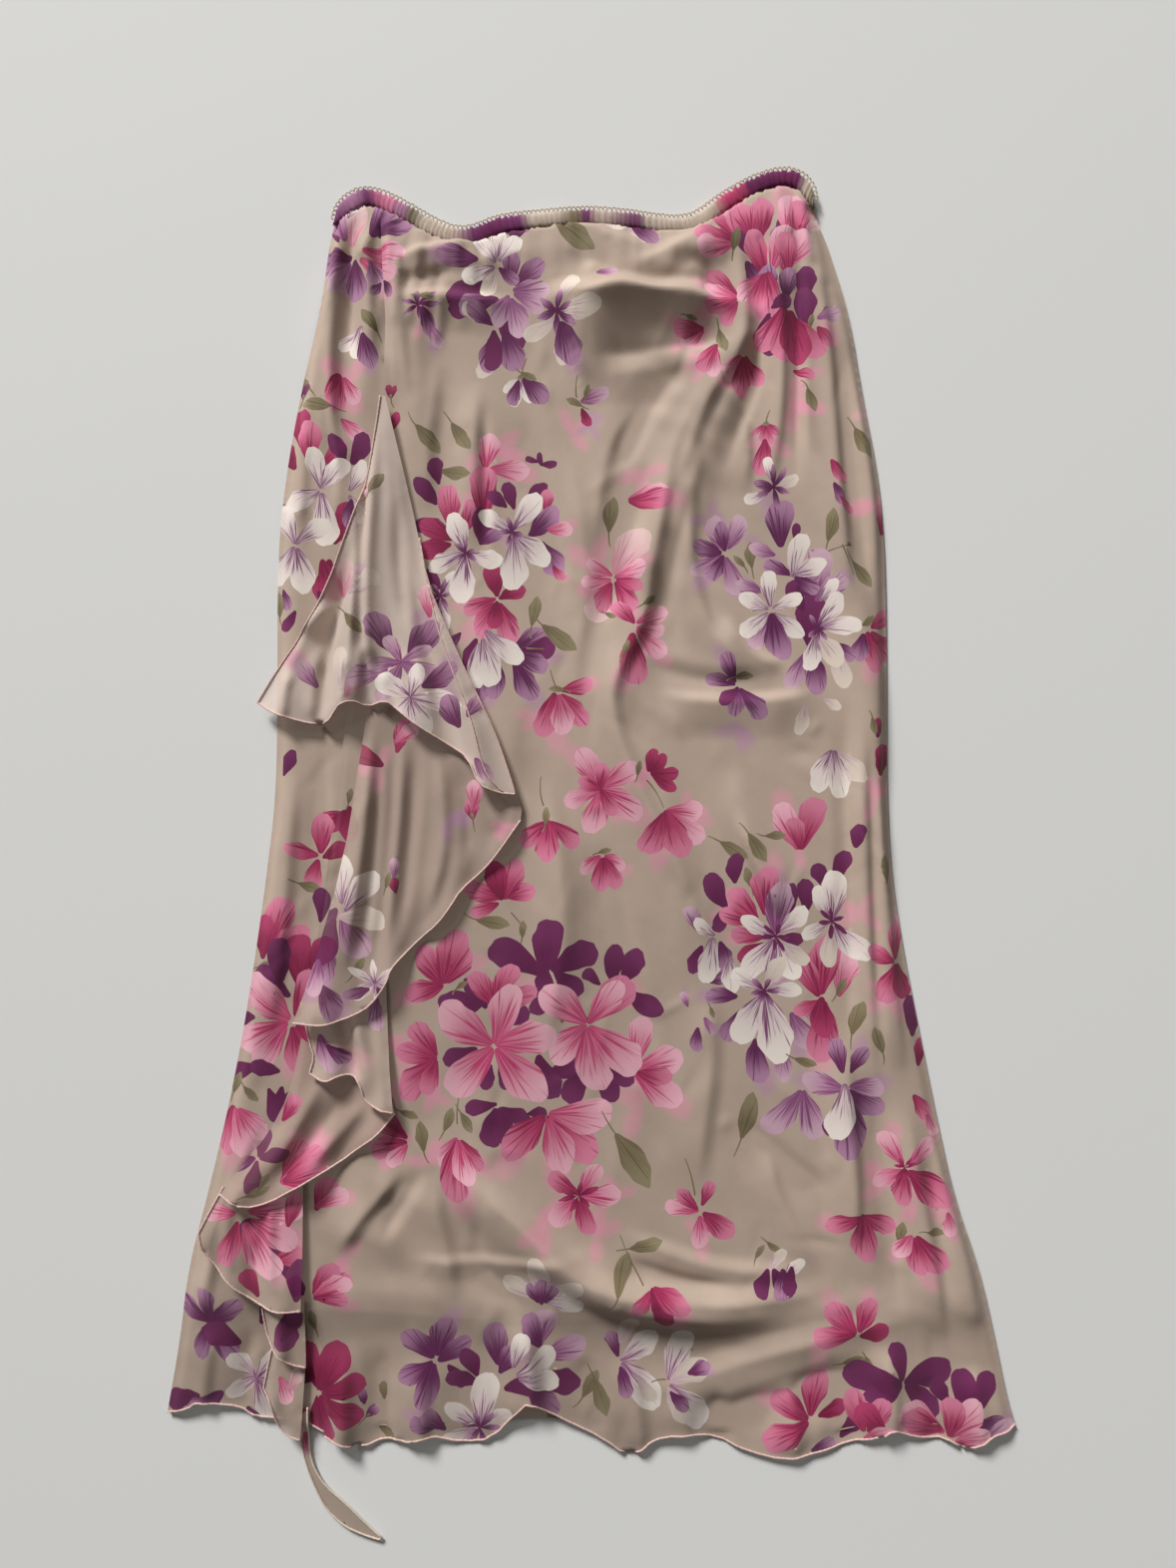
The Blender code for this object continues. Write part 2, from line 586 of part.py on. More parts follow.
def make_ruffle(chiffon):
    rows = even(TAIL_ROWS)
    tail_top = np.vstack([TAIL_LEFT[:1], TAIL_RIGHT[:1]])
    tail_tip = np.vstack([TAIL_LEFT[-1:], TAIL_RIGHT[-1:]])
    plan = plan_between(tail_top, tail_tip, TAIL_LEFT, TAIL_RIGHT, even(TAIL_COLUMNS), rows)
    lay_cloth("ruffle_tail", plan, 0.0, CHIFFON_WALL, chiffon)
    for fall in FALLS:
        columns = even(fall["columns"])
        rows = even(fall["rows"])
        edges = [rounded(fall[edge], 1) for edge in ("top", "hem", "left", "right")]
        plan = plan_between(*edges, columns, rows)
        lift = flute_lift(fall["flutes"], columns, rows)
        lay_cloth(fall["name"], plan, lift, CHIFFON_WALL, chiffon, FALL_SPAN)


for leftover in list(bpy.data.objects):
    bpy.data.objects.remove(leftover, do_unlink=True)

print_chiffon = finish("printed chiffon", (0.50, 0.42, 0.36), 0.75)
ruffle_chiffon = finish("ruffle chiffon", (0.56, 0.46, 0.42), 0.75)
plain_lining = finish("plain lining", (0.62, 0.55, 0.48), 0.6)
casing_chiffon = finish("ruched casing chiffon", (0.30, 0.18, 0.20), 0.75)
cream_thread = finish("cream picot thread", (0.78, 0.70, 0.60), 0.6)

make_back_panel(print_chiffon)
make_casing_back(casing_chiffon)
make_lining(plain_lining)
make_gores(print_chiffon)
make_casing_front(casing_chiffon)
make_picot(cream_thread)
make_ruffle(ruffle_chiffon)
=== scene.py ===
import math

import bpy
import numpy as np
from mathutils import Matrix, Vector
from mathutils.geometry import delaunay_2d_cdt
from mathutils.kdtree import KDTree


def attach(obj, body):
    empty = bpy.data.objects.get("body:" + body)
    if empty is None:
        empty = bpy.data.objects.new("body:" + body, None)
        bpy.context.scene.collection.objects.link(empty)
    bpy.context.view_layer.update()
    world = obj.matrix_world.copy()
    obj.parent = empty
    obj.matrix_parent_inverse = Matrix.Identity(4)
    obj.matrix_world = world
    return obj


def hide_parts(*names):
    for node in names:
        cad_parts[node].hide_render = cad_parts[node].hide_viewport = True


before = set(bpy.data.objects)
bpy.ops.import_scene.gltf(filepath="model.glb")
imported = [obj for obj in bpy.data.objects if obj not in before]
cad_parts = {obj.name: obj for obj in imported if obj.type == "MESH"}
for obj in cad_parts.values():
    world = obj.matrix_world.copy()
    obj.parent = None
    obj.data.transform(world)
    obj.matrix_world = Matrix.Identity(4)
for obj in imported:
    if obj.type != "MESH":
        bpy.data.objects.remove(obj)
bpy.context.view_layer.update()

mm = 0.001

# Places are read in the photo's own pixels, each 0.62 mm wide, and sizes are millimetres.
photo = {"pixelWidth": 0.62 * mm, "middleX": 590, "middleY": 856}


def spots(pixels):
    # places on the skirt, in metres, of pixels of the photo
    pixels = np.atleast_2d(np.array(pixels, dtype=float))
    x = (pixels[:, 0] - photo["middleX"]) * photo["pixelWidth"]
    y = (photo["middleY"] - pixels[:, 1]) * photo["pixelWidth"]
    return np.column_stack([x, y])


def rows(*table):
    return np.array(table, dtype=float) * mm


# Paths, in the same sizes as the cut pieces

def rounded(path, passes=2):
    for _ in range(passes):
        before = path[:-1] * 0.75 + path[1:] * 0.25
        after = path[:-1] * 0.25 + path[1:] * 0.75
        inside = np.stack([before, after], axis=1).reshape(-1, path.shape[1])
        path = np.vstack([path[:1], inside, path[-1:]])
    return path


def runLength(path):
    steps = np.linalg.norm(np.diff(path, axis=0), axis=1)
    return np.concatenate([[0.0], np.cumsum(steps)])


def resample(path, shares, measured=None):
    run = runLength(path if measured is None else measured)
    goal = np.asarray(shares) * run[-1]
    return np.column_stack([np.interp(goal, run, path[:, k]) for k in range(path.shape[1])])


def everyStep(path, step):
    count = max(int(round(runLength(path)[-1] / step)), 2)
    return resample(path, np.linspace(0, 1, count + 1))


def closedOutline(*edges):
    # edges that follow each other round a cloth, without the repeated corners
    return np.vstack([edge[:-1] for edge in edges])


waist = {
    # columns: top edge x, y and lower edge x, y of the casing, from left to right
    "line": rows(
        (-159, 396, -160, 390), (-156, 406, -151, 398), (-147, 413, -143, 403.5),
        (-138, 415, -136, 405), (-125, 411, -128, 401.5), (-110, 403, -113, 394),
        (-97, 395, -101, 386.5), (-82, 389, -83, 379.5), (-70, 391, -67, 381.5),
        (-57, 397, -54.5, 387.5), (-30, 400, -29, 391), (0, 402.5, 0, 393),
        (30, 399.5, 29, 390.5), (52, 396, 52, 387.5), (66, 397.5, 69, 389),
        (84, 411.5, 89, 403), (104, 422.5, 107.5, 413.5), (122, 427.5, 122, 418),
        (134, 424, 130.5, 415), (140, 416, 136, 408), (141, 408, 141, 400)),
    "seamShare": 0.107,  # share of the waist that the side gore takes
    "tuck": 2.0 * mm,  # how far the cloth runs up under the casing
}
seams = {
    "left": rows(
        (-162.5, 380), (-168, 340), (-180, 290), (-190, 235), (-195, 185), (-195, 95),
        (-196, 35), (-202, -15), (-209, -65), (-217, -115), (-227, -165), (-239, -215),
        (-251, -260), (-256, -305), (-264, -350)),
    "right": rows(
        (150, 380), (163, 340), (171, 290), (182, 235), (186, 185), (187, 95), (187, 35),
        (190, -15), (198, -65), (208, -115), (218, -165), (229, -215), (245, -260),
        (255, -305), (262, -340), (267.5, -357.7)),
    "gore": rows(
        (-126, 332), (-127, 281), (-140, 184), (-149, 97), (-161, 4), (-174, -89),
        (-186, -182), (-180, -275), (-164, -362)),
}
hems = {
    "side": rows(
        (-264, -350), (-250, -347), (-245, -342), (-236, -343.5), (-218, -346), (-210, -352),
        (-195, -353), (-178, -355), (-164, -362)),
    "main": rows(
        (-164, -362), (-157, -365), (-142, -372), (-127, -366), (-115, -367.5), (-101, -362.7),
        (-78, -370), (-60, -366), (-44, -347), (-37, -339), (-21, -351), (11, -367), (22, -376),
        (31, -375), (40, -367), (56, -362.6), (79, -365), (100, -374.5), (122, -379.5),
        (143, -375.7), (164, -369), (183, -364.6), (189, -358), (198, -363), (212, -366.7),
        (223, -366), (236, -373), (244, -370.8), (252, -363.4), (262, -361), (267.5, -357.7)),
    "back": rows(
        (-264, -350), (-235, -338), (-200, -346), (-160, -353), (-120, -361), (-80, -360),
        (-40, -352), (0, -357), (40, -360), (90, -362), (140, -366), (190, -355), (230, -360),
        (267.5, -357.7)),
    "lining": rows(
        (-243, -280), (-130, -284), (-60, -290), (0, -289), (60, -288), (130, -290), (243, -285)),
}


def waistEdges(low, high, count):
    # the casing's two edges between two shares of the waist
    edges = rounded(waist["line"])
    table = resample(edges, np.linspace(low, high, count + 1), measured=edges[:, 2:])
    return table[:, :2], table[:, 2:]


def clothTop(low, high):
    outer, inner = waistEdges(low, high, 160)
    up = outer - inner
    return inner + up * (waist["tuck"] / np.linalg.norm(up, axis=1, keepdims=True))


def seamFrom(start, seam):
    return np.vstack([start[None], rounded(seam)])


# Heights of the layers, on one raster over the whole skirt

raster = {"cell": 1.25 * mm, "reachX": 0.286, "reachY": 0.446}
rasterShape = tuple(round(2 * raster[reach] / raster["cell"]) for reach in ("reachX", "reachY"))
cellX = (np.arange(rasterShape[0]) + 0.5) * raster["cell"] - raster["reachX"]
cellY = (np.arange(rasterShape[1]) + 0.5) * raster["cell"] - raster["reachY"]
pile = np.zeros(rasterShape)  # top of all the cloth that already lies there


def window(low, high):
    # raster cells between two corners, as slices
    first = np.floor((low + (raster["reachX"], raster["reachY"])) / raster["cell"]).astype(int)
    last = np.ceil((high + (raster["reachX"], raster["reachY"])) / raster["cell"]).astype(int)
    first = np.clip(first, 0, rasterShape)
    last = np.clip(last, 0, rasterShape)
    return slice(first[0], last[0]), slice(first[1], last[1])


def topOf(name):
    # height of a solid's upper side, and the cells that it covers
    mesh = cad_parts[name].data
    mesh.calc_loop_triangles()
    corners = np.empty(len(mesh.loop_triangles) * 3, dtype=np.int32)
    mesh.loop_triangles.foreach_get("vertices", corners)
    points = np.empty(len(mesh.vertices) * 3)
    mesh.vertices.foreach_get("co", points)
    height = np.full(rasterShape, -1.0)
    for a, b, c in points.reshape(-1, 3)[corners.reshape(-1, 3)]:
        area = (b[0] - a[0]) * (c[1] - a[1]) - (b[1] - a[1]) * (c[0] - a[0])
        if area < 1e-9:
            continue
        part = window(np.minimum(np.minimum(a, b), c)[:2], np.maximum(np.maximum(a, b), c)[:2])
        x = cellX[part[0]][:, None]
        y = cellY[part[1]][None, :]
        shareB = ((x - a[0]) * (c[1] - a[1]) - (y - a[1]) * (c[0] - a[0])) / area
        shareC = ((b[0] - a[0]) * (y - a[1]) - (b[1] - a[1]) * (x - a[0])) / area
        inside = (shareB > -1e-6) & (shareC > -1e-6) & (shareB + shareC < 1 + 1e-6)
        level = a[2] + shareB * (b[2] - a[2]) + shareC * (c[2] - a[2])
        height[part] = np.where(inside, np.maximum(height[part], level), height[part])
    return height, height > 0


def blurred(values, reach):
    for axis in (0, 1):
        total = values.copy()
        for shift in range(1, reach + 1):
            total = total + np.roll(values, shift, axis) + np.roll(values, -shift, axis)
        values = total / (2 * reach + 1)
    return values


def softened(height, mask, reach, passes=3):
    # a blur that takes in only the cells that the cloth covers
    weight = mask.astype(float)
    total = np.where(mask, height, 0.0)
    for _ in range(passes):
        weight = blurred(weight, reach)
        total = blurred(total, reach)
    return np.where(weight > 1e-4, total / np.maximum(weight, 1e-4), 0.0)


def awayFrom(path, reach):
    # distance from each cell to a path, how far along it, and on which side
    part = window(path.min(axis=0) - reach, path.max(axis=0) + reach)
    x = cellX[part[0]][:, None]
    y = cellY[part[1]][None, :]
    run = runLength(path)
    nearest = np.full((x.size, y.size), np.inf)
    side = np.zeros(nearest.shape)
    place = np.zeros(nearest.shape)
    for k in range(len(path) - 1):
        along = path[k + 1] - path[k]
        ox, oy = x - path[k, 0], y - path[k, 1]
        t = np.clip((ox * along[0] + oy * along[1]) / max(along @ along, 1e-12), 0, 1)
        distance = np.hypot(ox - t * along[0], oy - t * along[1])
        closer = distance < nearest
        nearest = np.where(closer, distance, nearest)
        side = np.where(closer, along[0] * oy - along[1] * ox, side)
        place = np.where(closer, (run[k] + t * (run[k + 1] - run[k])) / run[-1], place)
    return part, nearest, place, side


def addCrease(lift, path, height, leftWidth, rightWidth, fade=0.3, crisp=0.0):
    # a ridge, or a trough where the height is negative, that dies away at both ends; a crisp one
    # has a sharper crest
    part, distance, place, side = awayFrom(path, max(leftWidth, rightWidth) * 2)
    away = distance / np.where(side > 0, leftWidth, rightWidth)
    across = np.exp(-1.6 * away ** 2) * (1 - crisp) + crisp * np.clip(1 - away / 1.7, 0, 1) ** 1.25
    ends = np.clip(np.minimum(place, 1 - place) / fade, 0, 1)
    lift[part] += height * across * ends * ends * (3 - 2 * ends) * (away < 2)


def sample(values, points):
    # a raster's value between its cells
    x = (points[:, 0] + raster["reachX"]) / raster["cell"] - 0.5
    y = (points[:, 1] + raster["reachY"]) / raster["cell"] - 0.5
    i = np.clip(np.floor(x).astype(int), 0, rasterShape[0] - 2)
    j = np.clip(np.floor(y).astype(int), 0, rasterShape[1] - 2)
    u = np.clip(x - i, 0, 1)
    v = np.clip(y - j, 0, 1)
    low = values[i, j] * (1 - u) + values[i + 1, j] * u
    high = values[i, j + 1] * (1 - u) + values[i + 1, j + 1] * u
    return low * (1 - v) + high * v


def layHeights(name, lift, clearance=0.5 * mm, reach=2):
    # the upper side of a solid, softened, with the finer creases, clear of what lies under it
    top, mask = topOf(name)
    height = softened(top, mask, reach) + lift
    height = np.maximum(height, pile + clearance)
    height = softened(height, mask, 1, passes=1)
    pile[mask] = np.maximum(pile[mask], height[mask])
    return height


# Colours

def dye(red, green, blue):
    # an sRGB colour made linear
    value = np.array((red, green, blue)) / 255
    return np.where(value <= 0.04045, value / 12.92, ((value + 0.055) / 1.055) ** 2.4)


light = {"albedoPerColour": 1.30}  # albedo that gives a colour read off the photo, under these lamps

ground = dye(170, 151, 136)

# Each dye of the print: its body, its paler edge, the streaks from the throat, how strong they
# are, and how far out they run as a share of the petal.
dyes = {
    "purple": (dye(92, 22, 68), dye(104, 38, 82), dye(66, 14, 50), 0.30, 0.7),
    "violet": (dye(100, 38, 84), dye(164, 120, 148), dye(76, 20, 62), 0.85, 1.1),
    "lilac": (dye(156, 106, 136), dye(190, 156, 170), dye(104, 44, 92), 0.85, 0.95),
    "magenta": (dye(128, 24, 64), dye(158, 52, 92), dye(92, 10, 48), 0.70, 0.9),
    "rose": (dye(166, 54, 92), dye(200, 118, 144), dye(120, 18, 62), 0.90, 0.95),
    "pink": (dye(192, 108, 134), dye(214, 162, 174), dye(160, 44, 88), 0.95, 0.92),
    "blush": (dye(196, 154, 158), dye(204, 174, 170), dye(176, 92, 120), 0.75, 0.8),
    "white": (dye(200, 182, 180), dye(220, 210, 200), dye(104, 44, 92), 0.95, 0.72),
    "cream": (dye(192, 176, 166), dye(204, 190, 176), dye(148, 112, 134), 0.60, 0.75),
    "olive": (dye(116, 104, 78), dye(130, 120, 92), dye(90, 80, 56), 0.50, 1.0),
    "moss": (dye(98, 88, 62), dye(110, 100, 74), dye(74, 66, 44), 0.50, 1.0),
}
bleeds = {"rose": "pink", "pink": "pink", "violet": "lilac", "lilac": "lilac"}
haloDyes = {"pink": dye(206, 140, 156), "lilac": dye(172, 132, 156), "blush": dye(200, 156, 156)}


# Print: ordinary blossoms, buds, leaves and stems, each drawn from a few proportions

petalForm = {
    # half widths along a petal, of a round and of a pointed one
    "along": np.array((0.0, 0.12, 0.28, 0.46, 0.62, 0.76, 0.88, 0.97)),
    "round": np.array((0.18, 0.34, 0.58, 0.84, 0.98, 1.0, 0.82, 0.40)),
    "pointed": np.array((0.16, 0.40, 0.74, 0.97, 1.0, 0.80, 0.50, 0.16)),
    "uneven": (-0.17, 0.15),  # how far each half width strays
    "tipShift": 0.08,
    "bend": 0.28,
}


def petalEdge(length, width, pointed, notch, draw):
    # half the outline of a petal, from throat to tip: place along it and half width
    along = petalForm["along"]
    half = petalForm["round"] + (petalForm["pointed"] - petalForm["round"]) * pointed
    left = half * (1 + draw.uniform(*petalForm["uneven"], len(half)))
    right = half * (1 + draw.uniform(*petalForm["uneven"], len(half)))
    tip = np.array([[1.0 - notch, draw.uniform(-petalForm["tipShift"], petalForm["tipShift"])]])
    upper = np.column_stack([along, left * width / 2])
    lower = np.column_stack([along, -right * width / 2])[::-1]
    outline = np.vstack([upper, tip * (1, width), lower])
    outline[:, 1] += petalForm["bend"] * draw.uniform(-1, 1) * outline[:, 0] ** 2 * width
    following = np.roll(outline, -1, axis=0)
    cut = np.stack([outline * 0.75 + following * 0.25, outline * 0.25 + following * 0.75], axis=1)
    return cut.reshape(-1, 2) * length


def turned(points, angle):
    c, s = math.cos(angle), math.sin(angle)
    return points @ np.array([[c, s], [-s, c]])


def shape(outline, throat, angle, length, colour, draw, dim=1.0):
    body, edge, streak, strength, streakReach = dyes[colour]
    shade = draw.uniform(0.93, 1.06) * dim
    return {"outline": outline, "throat": throat, "axis": np.array((math.cos(angle), math.sin(angle))),
            "length": length, "body": body * shade, "edge": edge * shade, "streak": streak,
            "strength": strength, "streakReach": streakReach, "seed": draw.uniform(0, 60)}


def petal(at, angle, length, width, colour, draw, pointed=0.25, notch=0.04, flat=(1.0, 0.0), dim=1.0):
    # flat is how much the flower is foreshortened, and in which direction
    outline = turned(petalEdge(length, width, pointed, notch, draw), angle)
    tipPoint = turned(np.array([[length, 0.0]]), angle)
    squeeze, lean = flat
    outline = turned(turned(outline, -lean) * (1, squeeze), lean)
    tipPoint = turned(turned(tipPoint, -lean) * (1, squeeze), lean)[0]
    newAngle = math.atan2(tipPoint[1], tipPoint[0])
    return shape(outline + at, at, newAngle, np.linalg.norm(tipPoint), colour, draw, dim=dim)


def drawBlossom(at, size, angle, colour, draw, count=5, width=0.50, pointed=0.45):
    flat = (draw.uniform(0.66, 0.92), draw.uniform(0, math.pi))
    order = draw.permutation(count)
    shapes = []
    for k in order:
        spread = angle + 2 * math.pi * k / count + draw.uniform(-0.26, 0.26)
        length = size * draw.uniform(0.80, 1.20)
        shapes.append(petal(at, spread, length, width * draw.uniform(0.82, 1.12), colour, draw,
                            pointed * draw.uniform(0.3, 1.8), 0.05, flat, dim=draw.uniform(0.90, 1.06)))
    for k in range(5):
        spread = angle + draw.uniform(0, 2 * math.pi)
        length = size * draw.uniform(0.20, 0.36)
        shapes.append(petal(at, spread, length, 0.11, stamenDye[colour], draw, 0.6))
    return shapes


stamenDye = {"purple": "violet", "violet": "purple", "lilac": "purple", "magenta": "blush",
             "rose": "magenta", "pink": "magenta", "blush": "rose", "white": "violet", "cream": "lilac",
             "olive": "moss", "moss": "olive"}


def drawStar(at, size, angle, colour, draw):
    return drawBlossom(at, size, angle, colour, draw, count=6, width=0.34, pointed=0.8)


def drawSide(at, size, angle, colour, draw, fan=1.05, count=4):
    # a flower seen from its side: a stalk, a fan of petals and the green cup that holds them
    shapes = drawStem(at, size * 0.55, angle + math.pi, "olive", draw)
    offsets = np.linspace(-fan, fan, count)
    order = np.argsort(-np.abs(offsets))
    for k in order:
        length = size * (1.0 - 0.16 * abs(offsets[k]) / fan) * draw.uniform(0.86, 1.10)
        width = draw.uniform(0.34, 0.48)
        shapes.append(petal(at, angle + offsets[k] * 0.75, length, width, colour, draw, 0.35,
                            dim=1.0 - 0.10 * (k % 2)))
    cup = size * 0.22
    cupPlace = at - turned(np.array([[cup * 0.35, 0]]), angle)[0]
    for turn in (-0.5, 0.5, 0.0):
        shapes.append(petal(cupPlace, angle + turn, cup, 0.5, "olive", draw, 0.8))
    return shapes


def drawBud(at, size, angle, colour, draw):
    shapes = drawStem(at, size * 0.6, angle + math.pi, "olive", draw)
    for turn in (-0.28, 0.28, 0.0):
        shapes.append(petal(at, angle + turn, size, 0.42, colour, draw, 0.6))
    shapes.append(petal(at, angle, size * 0.35, 0.55, "olive", draw, 0.8))
    return shapes


def drawPetal(at, size, angle, colour, draw):
    width = (0.48 if colour in ("white", "cream") else 0.54) * draw.uniform(0.9, 1.12)
    return [petal(at, angle, size, width, colour, draw, draw.uniform(0.1, 0.8))]


def drawLeaf(at, size, angle, colour, draw):
    # a leaf whose middle is at the given place, with a thin midrib
    start = at - turned(np.array([[size / 2, 0]]), angle)[0]
    blade = petal(start, angle, size, 0.42, colour, draw, 1.0, 0.0)
    stalk = drawStem(start, size * 0.4, angle + math.pi, colour, draw)
    rib = petal(start, angle, size * 0.92, 0.03, stamenDye[colour], draw, 1.0, 0.0)
    return [*stalk, blade, rib]


def drawStem(at, size, angle, colour, draw):
    bend = draw.uniform(-0.35, 0.35)
    along = np.linspace(0, 1, 6)
    middle = np.column_stack([along * size, bend * size * along ** 2])
    half = 0.45 * mm
    outline = np.vstack([middle + (0, half), middle[::-1] - (0, half)])
    return [shape(turned(outline, angle) + at, at, angle, size, colour, draw)]


drawings = {"blossom": drawBlossom, "star": drawStar, "side": drawSide, "bud": drawBud,
            "petal": drawPetal, "leaf": drawLeaf, "stem": drawStem}
# how much larger each is drawn than it was read, for its thin tips
growth = {"blossom": 1.20, "star": 1.25, "side": 1.20, "bud": 1.1, "petal": 1.30, "leaf": 1.12,
          "stem": 1.1}
halo = {"strength": 0.62, "reach": 1.7, "fall": 1.5, "bleeding": 0.4}


def drawPrint(table, seed):
    # columns: photo x and y, size in mm, direction in degrees, then a petal's dye, or a dye and what
    # is drawn in it; a leaf or stem alone is olive
    shapes, halos = [], []
    for number, (x, y, size, angle, *what) in enumerate(table):
        kind = "petal" if what[-1] in dyes else what[-1]
        colour = what[0] if what[0] in dyes else "olive"
        at = spots((x, y))[0]
        draw = np.random.default_rng(seed + number)
        if kind == "halo":
            # three or four soft pale petals without an edge
            for _ in range(draw.integers(3, 5)):
                way = draw.uniform(0, 2 * math.pi)
                axis = np.array((math.cos(way), math.sin(way)))
                halos.append((at + axis * size * mm * 0.55, axis, size * mm * draw.uniform(0.55, 0.75),
                              size * mm * 0.34, haloDyes[colour]))
            continue
        shapes += drawings[kind](at, size * growth[kind] * mm, math.radians(angle), colour, draw)
        if kind == "petal" and colour in bleeds and draw.random() < halo["bleeding"]:
            # the dye bleeds past some tips
            axis = turned(np.array([[1.0, 0.0]]), math.radians(angle) + draw.uniform(-0.3, 0.3))[0]
            halos.append((at + axis * size * mm * 1.15, axis, size * mm * draw.uniform(0.4, 0.7),
                          size * mm * 0.36, haloDyes[bleeds[colour]]))
    return shapes, halos


